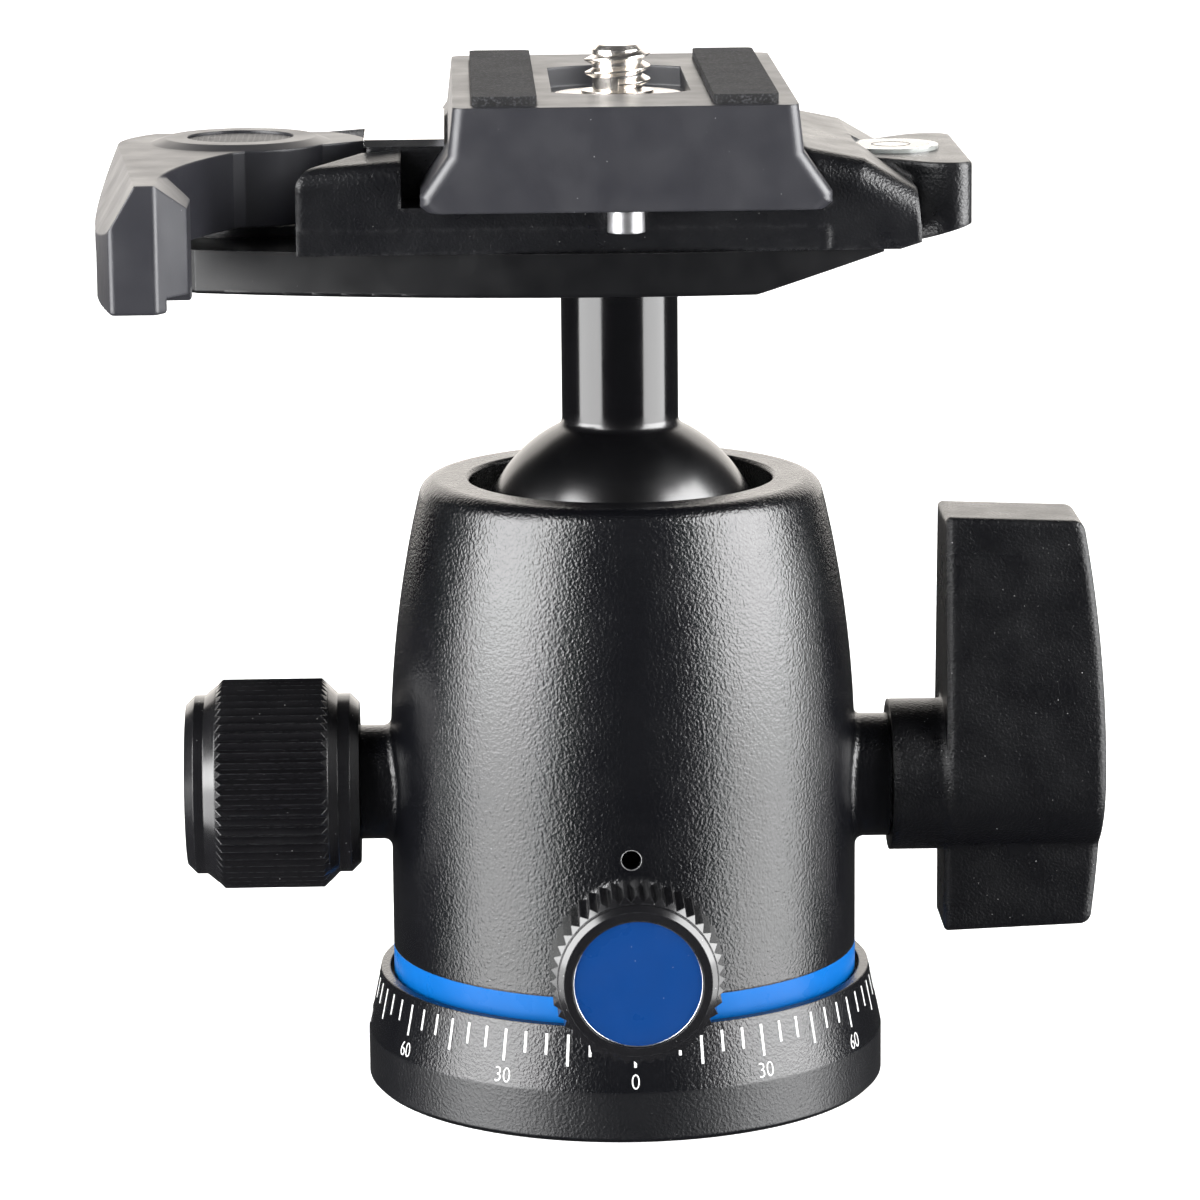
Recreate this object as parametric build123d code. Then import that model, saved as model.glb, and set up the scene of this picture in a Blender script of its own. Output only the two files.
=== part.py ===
from build123d import *
import math
import os

# Tripod ball head with a quick-release platform. Millimetres, +Z up.
# The origin is the centre of the tripod face under the base. +X points to the winged main lock,
# -Y to the panning lock.

# ------------------------------------------------------------------ clearances
running_fit = 0.05  # radial, shafts and pivots that turn or slide in a bore
press_fit = 0.02  # radial, pieces held fast in a bore
face_gap = 0.05  # between flat faces that slide on each other
free_gap = 0.3  # between pieces that pass without touching

# ------------------------------------------------------------------ standard threads
tripod_thread_radius = 4.763  # 3/8"-16
tripod_thread_pitch = 1.5875
tripod_bore_radius = 4.0
camera_thread_radius = 3.175  # 1/4"-20
camera_thread_pitch = 1.27
thread_depth_share = 0.6134  # depth of a 60 degree thread as a share of its pitch
thread_flat_share = 0.125

# ------------------------------------------------------------------ pan base
base_radius = 25.6
base_band_height = 5.0
base_edge = 0.5
base_height = 11.2
scale_top_radius = 24.3
rim_depth = 1.8
bush_radius = 7.5
bush_length = 9.0
bush_relief = 0.5
bearing_thickness = 0.8
hub_radius = 12.0
hub_above_pan_axis = 3.0
hub_neck_radius = 5.0
groove_half_width = 1.9
groove_floor_half_width = 1.5
groove_depth = 1.0
pivot_screw_radius = 3.0
pivot_screw_length = 14.0
pivot_head_radius = 4.8
pivot_head_height = 1.7
pivot_hex = 4.0
pivot_hex_depth = 1.2
pivot_washer_radius = 8.0
pivot_washer_thickness = 1.0

# ------------------------------------------------------------------ housing
trim_reveal = 2.4
housing_radius = 23.0
barrel_height = 28.45  # curved part of the barrel, up to the rim
barrel_curve = 115.0
rim_fillet = 2.0
rim_edge = 0.3
spigot_step = 3.0  # spigot radius under the housing's
trim_rim_gap = 0.4
web_thickness = 2.5
ball_room = 0.9  # chamber radius over the ball's
pan_axis_rise = 8.6  # above the base
lock_above_wedge = 1.0
boss_fillet = 0.8
grub_above_pan_axis = 7.5
grub_radius = 0.95
grub_length = 3.5
grub_depth = 3.0

# ------------------------------------------------------------------ ball, seats and clamp wedge
ball_radius = 14.0
ball_below_rim = 7.55
stem_radius = 5.7
stem_reach = 30.0  # above the ball's centre
neck_fillet = 1.0
stem_screw_depth = 14.0
seat_low = 0.8  # above the ball's centre
seat_high = 4.6
cup_below_centre = 7.0
cup_floor = 3.65
cup_wall_room = 0.3
wedge_foot_radius = 5.5
wedge_height = 5.4
preload_thickness = 0.6
preload_width = 3.0

# ------------------------------------------------------------------ main lock, on +X
main_boss_radius = 6.1
main_boss_stand = 3.3
lock_bush_radius = 4.5
lock_bush_start = 15.3
lock_spindle_radius = 3.0
plug_stem_radius = 1.9
plug_stem_length = 4.2
plug_head_end = 12.3
plug_tip_radius = 0.9
plug_travel_room = 1.1
main_collar_radius = 7.5
main_collar_length = 5.25
main_wing_depth = 15.65
main_hub_radius = 7.7
main_wing_up = 26.7
main_wing_down = 15.2
main_wing_up_half = 4.9
main_wing_down_half = 4.2
main_wing_curve = 140.0
main_wing_apex = 2.2
main_wing_end = 1.2
main_wing_fillet = 0.5
main_wing_draft = 0.55  # fall of the wings' ends towards the outside
main_spindle_grip = 8.0

# ------------------------------------------------------------------ friction knob, on -X
friction_boss_radius = 5.65
friction_boss_stand = 3.0
friction_knob_length = 17.1
friction_shoulder_radius = 8.85
friction_knurl_radius = 10.35
friction_knurl_count = 63
friction_inner_shoulder = 3.0
friction_outer_shoulder = 1.9
friction_cove = 1.1
friction_edge = 0.9
knurl_depth = 0.6
knurl_chamfer = 0.65
friction_spindle_grip = 10.0

# ------------------------------------------------------------------ pan lock, on -Y
pan_boss_radius = 5.2
pan_boss_stand = 7.8
pan_knob_gap = 0.9  # between the boss and the knob
pan_knurl_radius = 8.15
pan_knurl_count = 44
pan_knurl_length = 7.3
pan_face_radius = 7.4
pan_face_length = 1.0
pan_face_edge = 0.5
pan_disc_radius = 6.05
pan_disc_thickness = 0.7
pan_disc_inset = 0.25
pan_bush_radius = 3.9
pan_bush_start = 16.9
pan_spindle_radius = 2.5
pan_spindle_grip = 5.0
shoe_radius = 2.45
shoe_nose_radius = 1.1
shoe_length = 4.0

# ------------------------------------------------------------------ platform dish
dish_thickness = 4.2
dish_socket = 2.0
dish_half_width = 20.5
dish_side_curve = 130.0
dish_left = -46.4
dish_left_corner = -40.5
dish_right = 24.4
dish_slope_start = 12.2
dish_edge = 0.4
platform_screw_radius = 3.0
platform_screw_head = 6.0
platform_screw_hex = 4.0
platform_screw_hex_depth = 2.0
platform_screw_inset = 0.3
platform_screw_bite = 13.0
clamp_screw_radius = 1.5
clamp_screw_head = 2.9
clamp_screw_places = (-15.0, 9.6)
clamp_screw_bite = 2.6
clamp_screw_hex = 2.0
clamp_screw_hex_depth = 1.0

# ------------------------------------------------------------------ clamp casting
slab_thickness = 2.3
slab_inset = 0.12
floor_above_dish = 4.4
clamp_half_length = 20.0
block_left = -30.75
block_inner_left = -24.6
block_right = -20.9
block_width = 6.1
block_height = 4.8  # over the floor, at the inner right corner
rear_block_height = 4.0
block_fall_out = 0.1  # per millimetre towards the clamp's end
block_fall_left = 0.074
block_fillet = 1.8
fixed_jaw_crest = 5.1
fixed_jaw_shoulder = (22.6, 3.9)  # x and height over the floor
fixed_jaw_outer = (27.5, 1.05)
fixed_jaw_foot = 27.8
jaw_end_fillet = 2.8
ear_right = 33.3
ear_half_width = 12.9
ear_shoulder = 29.6
ear_root_half = 1.0
ear_corner = 1.8
ear_shoulder_round = 4.4
ear_height = 2.8
ear_edge = 0.3
ear_foot_left = 27.9
ear_drop = 1.0  # of its foot under the sloping underside
slope_rise = 0.309  # of the underside towards the ear, per millimetre
pivot_pad_radius = 6.6
pivot_web_half = 6.0

# ------------------------------------------------------------------ bubble level
level_x = 26.5
level_radius = 4.6
level_depth = 3.4
level_stand = 0.4
level_wall = 0.9
level_floor = 0.8
window_thickness = 0.9

# ------------------------------------------------------------------ movable jaw
jaw_left = -24.1
jaw_height = 5.0
jaw_cover_thickness = 0.7
jaw_cover_left = -24.4
jaw_cover_inset = 0.2
jaw_travel = 2.2
cover_screw_places = (-9.0, 9.0)
cover_screw_radius = 1.0
cover_screw_length = 3.0
keel_places = (-8.0, 8.0)
keel_left = -20.4
keel_right = -14.4
keel_half_width = 1.9
keel_depth = 3.2
pocket_half_width = 2.3
pocket_right = -9.6
guide_pin_radius = 0.8
guide_pin_side = 0.9
guide_pin_bite = 3.0
guide_pin_inset = 0.2
spring_strip = 0.35
spring_folds = 4
spring_width = 1.0
spring_height = 2.4

# ------------------------------------------------------------------ clamp lever
lever_pivot_x = -36.5
lever_under = 1.35  # over the dish
lever_thickness = 7.25
lever_boss_radius = 8.7
lever_boss_top_radius = 7.3
lever_boss_height = 0.5
lever_nose = (-24.35, -0.5)
lever_nose_side = (-25.6, 4.3)
lever_nose_rear = (-28.2, 7.5)
lever_front_neck = (-36.9, -9.45)
lever_front_middle = (-41.2, -19.2)
lever_tab_front = -35.0
lever_tab_inner = -43.0
lever_tab_outer = -47.25
lever_wall_middle = (-49.4, -20.0)
lever_wall_end = (-48.25, -1.4)
lever_rear_middle = (-47.5, 3.45)
lever_rear = (-45.0, 7.6)
lever_tip_fillet = 0.6
lever_corner_fillet = 0.6
lever_slope_front = -44.8  # where the sloped outer top starts, at the tab
lever_slope_drop = 4.1
lever_slope_width = 2.45
lever_tab_rear = -24.0
lever_tab_belly = (-40.3, -30.8)
lever_belly_fall = 0.95  # of the tab's top towards its belly, per millimetre
lever_tab_drop = 4.55
lever_tab_wall = 1.3
lever_tab_notch = 1.4
lever_tab_hollow = 6.0
lever_tab_fillet = 0.6
lever_tab_edge = 0.35
lever_recess_radius = 5.15
lever_seat_radius = 4.9
lever_seat_height = 3.6
lever_cap_thickness = 0.8
lever_cap_inset = 0.25
pivot_bolt_radius = 3.0
pivot_bolt_tip = 2.4
pivot_bolt_head = 4.6
pivot_bolt_head_height = 2.0
pivot_bolt_hex = 3.0
pivot_bolt_hex_depth = 1.5
lever_washer_thickness = 0.5

# ------------------------------------------------------------------ camera plate
plate_half_length = 25.0
plate_height = 9.75
plate_top_half = 16.0
plate_waist_half = 16.5
plate_lip_half = 19.1
plate_foot_half = 18.3
plate_waist_drop = 4.4
plate_lip_height = 1.6
plate_lip_foot = 0.6
plate_corner = 1.2
window_half_width = 6.6
window_half_length = 14.0
window_end_curve = 10.0
window_depth = 2.0
cavity_depth = 4.0
shank_slot_half = 3.35
screw_slide = 6.0
pad_inner = 8.2
pad_width = 6.0
pad_front = -23.6
pad_rear = 21.1
pad_height = 0.9
pad_recess = 0.5
pad_corner = 0.8
stop_screw_radius = 1.75
stop_screw_room = 1.15  # between its head and the clamp's end
stop_screw_drop = 2.1
stop_screw_shank = 1.2
stop_screw_bite = 5.0
stop_screw_hex = 1.5

# ------------------------------------------------------------------ camera screw
camera_screw_stand = 3.4
camera_head_radius = 6.2
camera_head_height = 2.2
camera_shank_radius = 3.0
camera_slot_width = 1.4
camera_slot_depth = 1.0
flange_radius = 6.2
flange_thickness = 0.6
clip_radius = 3.5
clip_thickness = 0.3
clip_groove_radius = 2.35
clip_mouth = 2.0

# ------------------------------------------------------------------ levels worked out from the above
base_floor = base_height - rim_depth
base_rim_bore = housing_radius + trim_rim_gap
spigot_radius = housing_radius - spigot_step
pan_axis_height = base_height + pan_axis_rise
bearing_top = base_floor + bearing_thickness
spigot_bottom = bearing_top + face_gap
housing_bottom = base_height + trim_reveal
hub_top = pan_axis_height + hub_above_pan_axis
web_bottom = hub_top + free_gap
web_top = web_bottom + web_thickness
hub_neck_top = web_top + free_gap
pivot_washer_top = hub_neck_top + pivot_washer_thickness
pivot_head_top = pivot_washer_top + pivot_head_height
chamber_radius = ball_radius + ball_room
wedge_bottom = pivot_head_top + free_gap
wedge_top = wedge_bottom + wedge_height
wedge_top_radius = wedge_foot_radius + wedge_height
preload_top = wedge_top + preload_thickness
cup_bottom = preload_top + free_gap
ball_centre = cup_bottom + cup_floor + running_fit + ball_radius
housing_height = ball_centre + ball_below_rim
barrel_start = housing_height - barrel_height
stem_top = ball_centre + stem_reach
lock_axis_height = wedge_bottom + lock_above_wedge
grub_height = pan_axis_height + grub_above_pan_axis
main_boss_reach = housing_radius + main_boss_stand
friction_boss_reach = housing_radius + friction_boss_stand
pan_boss_reach = housing_radius + pan_boss_stand
pan_knob_inner = pan_boss_reach + pan_knob_gap
pan_knob_front = pan_knob_inner + pan_knurl_length + pan_face_length
main_wing_inner = main_boss_reach + face_gap + main_collar_length
main_wing_outer = main_wing_inner + main_wing_depth
dish_bottom = stem_top - dish_socket
dish_top = dish_bottom + dish_thickness
slab_top = dish_top + slab_thickness
clamp_floor = dish_top + floor_above_dish
plate_bottom = clamp_floor + face_gap
plate_top = plate_bottom + plate_height
camera_screw_top = plate_top + camera_screw_stand
plate_lip_top = plate_bottom + plate_lip_height
plate_waist = plate_top - plate_waist_drop
window_floor = plate_top - window_depth
cavity_top = plate_bottom + cavity_depth
ear_top = clamp_floor + ear_height
ear_left = fixed_jaw_shoulder[0] - level_radius
jaw_top = clamp_floor + jaw_height
jaw_half_length = clamp_half_length - block_width - free_gap
cover_bottom = jaw_top
lever_bottom = dish_top + lever_under
lever_top = lever_bottom + lever_thickness
lever_boss_top = lever_top + lever_boss_height
pivot_pad_top = lever_bottom - free_gap
lever_seat = lever_bottom + lever_seat_height
lever_washer_top = lever_seat + face_gap + lever_washer_thickness
bolt_head_top = lever_washer_top + pivot_bolt_head_height
flange_bottom = window_floor + face_gap
clip_bottom = flange_bottom + flange_thickness + face_gap
camera_head_bottom = plate_bottom + face_gap
stop_screw_place = clamp_half_length + stop_screw_room + stop_screw_radius

LOWER = (Align.CENTER, Align.CENTER, Align.MIN)


# ------------------------------------------------------------------ shape helpers
def rod(radius, low, high, x=0.0, y=0.0):
    """Upright cylinder between two heights."""
    return Pos(x, y, low) * Cylinder(radius, high - low, align=LOWER)


def tube(radius, bore, low, high):
    """Upright ring between two heights."""
    return rod(radius, low, high) - rod(bore, low - 1, high + 1)


def block(x_range, y_range, z_range):
    """Box between two corners."""
    size = [high - low for low, high in (x_range, y_range, z_range)]
    centre = [(high + low) / 2 for low, high in (x_range, y_range, z_range)]
    return Pos(*centre) * Box(*size)


def turned(points):
    """Solid turned about Z from the corners (radius, height) of its half section."""
    return revolve(make_face(Polyline(*[(r, 0, z) for r, z in points], close=True)), Axis.Z)


def prism(points, low, high):
    """Upright prism on a plan outline of (x, y) corners."""
    return extrude(make_face(Polyline(*[(x, y, low) for x, y in points], close=True)), high - low)


def profile_bar(points, y_low, y_high):
    """Bar along Y with a section of (x, z) corners."""
    face = make_face(Polyline(*[(x, y_low, z) for x, z in points], close=True))
    return extrude(face, y_high - y_low, dir=(0, 1, 0))


def hexagon(across_flats, low, high):
    """Upright hexagonal prism between two heights."""
    radius = across_flats / math.sqrt(3)
    return prism([polar(radius, 60 * i) for i in range(6)], low, high)


def polar(radius, degrees):
    """Plan point at a radius and an angle."""
    return (radius * math.cos(math.radians(degrees)), radius * math.sin(math.radians(degrees)))


def ball(radius, height):
    """Sphere centred on the axis at a height."""
    return Pos(0, 0, height) * Sphere(radius)


def outward(axis_height, turn):
    """Place of a control whose own +Z points out of the housing along +X turned about Z."""
    return Pos(0, 0, axis_height) * Rot(0, 0, turn) * Rot(0, 90, 0)


def main_side(solid):
    """Move a control modelled on Z to the main lock's axis, +X."""
    return outward(lock_axis_height, 0) * solid


def friction_side(solid):
    """Move a control modelled on Z to the friction knob's axis, -X."""
    return outward(lock_axis_height, 180) * solid


def pan_side(solid):
    """Move a control modelled on Z to the panning lock's axis, -Y."""
    return outward(pan_axis_height, -90) * solid


def thread_corners(crest, root, pitch, low, high):
    """Section corners of a grooved bar or bore with flat crests, from low to high."""
    flat = thread_flat_share * pitch / 2
    corners = [(crest, low)]
    for turn in range(math.floor((high - low) / pitch)):
        start = low + turn * pitch
        corners.append((crest, start + flat))
        corners.append((root, start + pitch / 2 - flat))
        corners.append((root, start + pitch / 2 + flat))
        corners.append((crest, start + pitch - flat))
    corners.append((crest, high))
    return corners


def knurled(radius, depth, count, low, high, chamfer_size):
    """Straight V knurl with chamfered ends, on Z."""
    points = []
    for tooth in range(count):
        points.append(polar(radius, 360 * tooth / count))
        points.append(polar(radius - depth, 360 * (tooth + 0.5) / count))
    envelope = turned(
        [
            (0, low),
            (radius - chamfer_size, low),
            (radius, low + chamfer_size),
            (radius, high - chamfer_size),
            (radius - chamfer_size, high),
            (0, high),
        ]
    )
    return prism(points, low, high) & envelope


# ------------------------------------------------------------------ pan base pieces
def make_pan_base():
    """Base casting: lower band, conical scale band with its rim, and the grooved hub."""
    axis = pan_axis_height
    solid = turned(
        [
            (0, 0),
            (base_radius - base_edge, 0),
            (base_radius, base_edge),
            (base_radius, base_band_height),
            (scale_top_radius, base_height),
            (base_rim_bore, base_height),
            (base_rim_bore, base_floor),
            (hub_radius, base_floor),
            (hub_radius, axis - groove_half_width),
            (hub_radius - groove_depth, axis - groove_floor_half_width),
            (hub_radius - groove_depth, axis + groove_floor_half_width),
            (hub_radius, axis + groove_half_width),
            (hub_radius, hub_top),
            (hub_neck_radius, hub_top),
            (hub_neck_radius, hub_neck_top),
            (0, hub_neck_top),
        ]
    )
    solid -= rod(bush_radius + press_fit, -1, bush_length + bush_relief)
    screw_end = pivot_washer_top - pivot_screw_length
    return solid - rod(pivot_screw_radius + press_fit, screw_end, hub_neck_top + 1)


def make_tripod_bush():
    """Steel insert with the 3/8"-16 tripod thread."""
    pitch = tripod_thread_pitch
    inner = thread_corners(tripod_bore_radius, tripod_thread_radius, pitch, 0, bush_length)
    return turned([(bush_radius, bush_length), (bush_radius, 0)] + inner)


def make_pan_bearing_washer():
    """Plain washer that the housing turns on."""
    return tube(spigot_radius - free_gap, hub_radius + running_fit, base_floor, bearing_top)


def make_pan_pivot_washer():
    """Washer over the hub's neck that keeps the housing on the base."""
    bore = pivot_screw_radius + running_fit
    return tube(pivot_washer_radius, bore, hub_neck_top, pivot_washer_top)


def make_pan_pivot_screw():
    """Low-headed screw that clamps the pivot washer on the hub."""
    screw_end = pivot_washer_top - pivot_screw_length
    solid = rod(pivot_screw_radius, screw_end, pivot_washer_top + 0.1)
    solid += rod(pivot_head_radius, pivot_washer_top, pivot_head_top)
    return solid - hexagon(pivot_hex, pivot_head_top - pivot_hex_depth, pivot_head_top + 1)


# ------------------------------------------------------------------ housing pieces
def barrel_radius(height):
    """Outer radius of the housing at a height over the start of its curve."""
    rise = height - barrel_start
    return housing_radius - barrel_curve + math.sqrt(barrel_curve**2 - rise**2)


def housing_shell():
    """Barrel-shaped outer body without its bores."""
    top_radius = barrel_radius(housing_height)
    middle = (barrel_start + housing_height) / 2
    outline = Polyline(
        (0, 0, housing_height),
        (0, 0, spigot_bottom),
        (spigot_radius, 0, spigot_bottom),
        (spigot_radius, 0, housing_bottom),
        (housing_radius, 0, housing_bottom),
        (housing_radius, 0, barrel_start),
    )
    outline += ThreePointArc(
        (housing_radius, 0, barrel_start),
        (barrel_radius(middle), 0, middle),
        (top_radius, 0, housing_height),
    )
    outline += Line((top_radius, 0, housing_height), (0, 0, housing_height))
    solid = revolve(make_face(outline), Axis.Z)
    rim = solid.edges().filter_by(GeomType.CIRCLE).sort_by(Axis.Z)[-1]
    return fillet(rim, rim_fillet)


def make_housing():
    """Housing casting with its three bosses, the ball chamber and the pan bore."""
    solid = housing_shell()
    solid += main_side(rod(main_boss_radius, chamber_radius, main_boss_reach))
    solid += friction_side(rod(friction_boss_radius, chamber_radius, friction_boss_reach))
    solid += pan_side(rod(pan_boss_radius, chamber_radius, pan_boss_reach))
    roots = [
        edge
        for edge in solid.edges().filter_by(GeomType.CIRCLE, reverse=True)
        if edge.bounding_box().size.length > main_boss_radius
        and edge.bounding_box().size.length < 3 * main_boss_radius
    ]
    solid = fillet(roots, boss_fillet)
    solid -= rod(hub_radius + running_fit, spigot_bottom - 1, web_bottom)
    solid -= rod(hub_neck_radius + running_fit, web_bottom - 1, web_top + 1)
    solid -= rod(chamber_radius, web_top, housing_height + 1)
    solid -= turned(
        [
            (chamber_radius - 1, housing_height - rim_edge - 1),
            (chamber_radius + rim_edge + 1, housing_height + 1),
            (chamber_radius - 1, housing_height + 1),
        ]
    )
    bush_bore = lock_bush_radius + press_fit
    solid -= main_side(rod(bush_bore, lock_bush_start, main_boss_reach + 1))
    solid -= main_side(rod(lock_spindle_radius + free_gap, ball_radius, lock_bush_start + 1))
    solid -= friction_side(rod(bush_bore, lock_bush_start, friction_boss_reach + 1))
    solid -= friction_side(rod(lock_spindle_radius + free_gap, ball_radius, lock_bush_start + 1))
    solid -= pan_side(rod(pan_bush_radius + press_fit, pan_bush_start, pan_boss_reach + 1))
    solid -= pan_side(rod(shoe_radius + running_fit, hub_radius - 1, pan_bush_start + 1))
    return solid - grub_line(grub_radius, chamber_radius - 1, housing_radius + 1)


def grub_line(radius, low, high):
    """Rod along the housing's grub screw hole, between two distances from the axis."""
    return outward(grub_height, -90) * rod(radius, low, high)


def make_trim_ring():
    """Coloured ring between the scale and the housing."""
    low = spigot_bottom
    return tube(housing_radius, spigot_radius + press_fit, low, housing_bottom - press_fit)


def make_housing_grub_screw():
    """Small socket set screw sunk in the housing wall."""
    end = housing_radius - grub_depth
    solid = grub_line(grub_radius - press_fit, end - grub_length, end)
    socket = outward(grub_height, -90) * hexagon(grub_radius, end - grub_radius, end + 1)
    return solid - socket


def make_upper_ball_seat():
    """Ring pressed in the housing's mouth that the ball is clamped up against."""
    low = ball_centre + seat_low
    high = ball_centre + seat_high
    solid = rod(chamber_radius - press_fit, low, high)
    return solid - ball(ball_radius + running_fit, ball_centre)


def lock_bush(reach):
    """Bush for a lock spindle, on Z, up to the end of its boss."""
    high = reach - face_gap
    bore = lock_spindle_radius + running_fit
    return tube(lock_bush_radius, bore, lock_bush_start, high)


def make_pan_bush():
    """Bush for the panning lock's spindle."""
    bore = pan_spindle_radius + running_fit
    return pan_side(tube(pan_bush_radius, bore, pan_bush_start, pan_boss_reach - face_gap))


def make_lock_wedge():
    """Conical wedge that the two noses push up under the ball cup."""
    return turned(
        [
            (0, wedge_bottom),
            (wedge_foot_radius, wedge_bottom),
            (wedge_top_radius, wedge_top),
            (0, wedge_top),
        ]
    )


def make_preload_washer():
    """Spring washer on the wedge that keeps a light grip on the ball."""
    bore = wedge_top_radius - preload_width
    return tube(wedge_top_radius - free_gap, bore, wedge_top, preload_top)


# ------------------------------------------------------------------ ball pieces
def make_ball_cup():
    """Cup that carries the ball from below."""
    high = ball_centre - cup_below_centre
    solid = rod(chamber_radius - cup_wall_room, cup_bottom, high)
    return solid - ball(ball_radius + running_fit, ball_centre)


def make_ball_stem():
    """Ball and stem turned in one piece, drilled for the platform screw."""
    solid = ball(ball_radius, ball_centre) + rod(stem_radius, ball_centre, stem_top)
    neck = ball_centre + math.sqrt(ball_radius**2 - stem_radius**2)
    ring = solid.edges().filter_by(GeomType.CIRCLE).sort_by(lambda e: abs(e.center().Z - neck))[0]
    solid = fillet(ring, neck_fillet)
    drill = platform_screw_radius + running_fit
    return solid - rod(drill, stem_top - stem_screw_depth, stem_top + 1)


# ------------------------------------------------------------------ controls
def plug_tip():
    """Distance from the axis to the virtual point of a plug's 45 degree nose."""
    flank = wedge_foot_radius + lock_axis_height - wedge_bottom
    return flank + free_gap * math.sqrt(2)


def nose_plug():
    """Brass nose with a stem that slides in its hollow spindle, on Z."""
    tip = plug_tip()
    radius = lock_spindle_radius
    return turned(
        [
            (0, tip + plug_tip_radius),
            (plug_tip_radius, tip + plug_tip_radius),
            (radius, tip + radius),
            (radius, plug_head_end),
            (plug_stem_radius, plug_head_end),
            (plug_stem_radius, plug_head_end + plug_stem_length),
            (0, plug_head_end + plug_stem_length),
        ]
    )


def lock_spindle(end):
    """Lock spindle with a hollow inner end for the plug's stem, on Z."""
    start = plug_head_end + plug_travel_room
    hollow = plug_head_end + plug_stem_length + plug_travel_room
    solid = rod(lock_spindle_radius, start, end)
    return solid - rod(plug_stem_radius + running_fit, start - 1, hollow)


def wing_section():
    """Section of the winged knob across its axis, in its own plane."""
    radius = main_hub_radius
    half = main_wing_down_half
    reach = math.hypot(main_wing_up_half, main_wing_up)
    touch = math.atan2(main_wing_up, main_wing_up_half) - math.acos(radius / reach)
    step = -math.acos(half / radius)
    tangent = (radius * math.cos(touch), radius * math.sin(touch))
    flank = (radius * math.cos((touch + step) / 2), radius * math.sin((touch + step) / 2))
    inner = (half, radius * math.sin(step))
    top = (main_wing_up_half, main_wing_up)
    bottom = (half, -main_wing_down)
    outline = Polyline(tangent, top, flipped(top), flipped(tangent))
    outline += ThreePointArc(flipped(tangent), flipped(flank), flipped(inner))
    outline += Polyline(flipped(inner), flipped(bottom), bottom, inner)
    outline += ThreePointArc(inner, flank, tangent)
    return make_face(outline)


def flipped(point):
    """Mirror image of a plan point in the second axis."""
    return (-point[0], point[1])


def wing_edge(height):
    """Distance of the wings' curved outer edge from the housing's axis at a height."""
    rise = height - lock_axis_height - main_wing_apex
    return main_wing_outer - main_wing_curve + math.sqrt(main_wing_curve**2 - rise**2)


def wing_profile():
    """Side profile of the wings, with a curved outer edge and rounded outer ends."""
    top = lock_axis_height + main_wing_up
    bottom = lock_axis_height - main_wing_down
    middle = (top + bottom) / 2
    side = -main_hub_radius - 1
    inner = main_wing_inner
    low_end = (wing_edge(bottom), side, bottom + main_wing_draft)
    high_end = (wing_edge(top), side, top - main_wing_draft)
    outline = Polyline(low_end, (inner, side, bottom), (inner, side, top), high_end)
    outline += ThreePointArc(low_end, (wing_edge(middle), side, middle), high_end)
    solid = extrude(make_face(outline), -2 * side, dir=(0, 1, 0))
    ends = [edge for edge in solid.edges().filter_by(Axis.Y) if edge.center().X > inner + main_wing_depth / 2]
    return fillet(ends, main_wing_end)


def make_main_knob():
    """Winged knob: collar, round hub, long upper wing and short lower wing."""
    inner = main_wing_inner
    plane = Plane(origin=(inner - 1, 0, lock_axis_height), x_dir=(0, 1, 0), z_dir=(1, 0, 0))
    wings = extrude(plane * wing_section(), main_wing_depth + 2) & wing_profile()
    wings = fillet(wings.edges(), main_wing_fillet)
    start = main_boss_reach + face_gap
    solid = wings + main_side(rod(main_collar_radius, start, inner + main_wing_fillet))
    bore = lock_spindle_radius + press_fit
    return solid - main_side(rod(bore, start - 1, inner + main_spindle_grip + press_fit))


def make_friction_knob():
    """Knurled knob with smooth shoulders, on the friction spindle."""
    start = friction_boss_reach + face_gap
    end = start + friction_knob_length
    shoulder = friction_shoulder_radius
    knurl_low = start + friction_inner_shoulder
    knurl_high = end - friction_outer_shoulder - friction_cove
    root = friction_knurl_radius - knurl_depth
    solid = turned(
        [
            (0, start),
            (shoulder - friction_edge, start),
            (shoulder, start + friction_edge),
            (shoulder, knurl_low - friction_edge),
            (root, knurl_low),
            (root, knurl_high),
            (shoulder, knurl_high + friction_cove),
            (shoulder, end - friction_edge),
            (shoulder - friction_edge, end),
            (0, end),
        ]
    )
    solid += knurled(
        friction_knurl_radius, knurl_depth, friction_knurl_count, knurl_low, knurl_high, knurl_chamfer
    )
    bore = lock_spindle_radius + press_fit
    solid -= rod(bore, start - 1, start + friction_spindle_grip + press_fit)
    return friction_side(solid)


def make_pan_knob():
    """Small knurled knob with a recessed face for the coloured disc."""
    knurl_high = pan_knob_front - pan_face_length
    knurl_low = pan_knob_inner
    solid = knurled(pan_knurl_radius, knurl_depth, pan_knurl_count, knurl_low, knurl_high, knurl_chamfer)
    solid += turned(
        [
            (0, knurl_low),
            (pan_face_radius, knurl_low),
            (pan_face_radius, pan_knob_front - pan_face_edge),
            (pan_face_radius - pan_face_edge, pan_knob_front),
            (0, pan_knob_front),
        ]
    )
    disc_floor = pan_knob_front - pan_disc_inset - pan_disc_thickness
    solid -= rod(pan_disc_radius + press_fit, disc_floor, pan_knob_front + 1)
    bore = pan_spindle_radius + press_fit
    return pan_side(solid - rod(bore, knurl_low - 1, knurl_low + pan_spindle_grip + press_fit))


def make_pan_knob_disc():
    """Coloured disc in the face of the panning lock."""
    high = pan_knob_front - pan_disc_inset
    return pan_side(rod(pan_disc_radius, high - pan_disc_thickness, high))


def make_pan_spindle():
    """Spindle of the panning lock."""
    start = pan_bush_start + plug_travel_room
    return pan_side(rod(pan_spindle_radius, start, pan_knob_inner + pan_spindle_grip))


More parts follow.
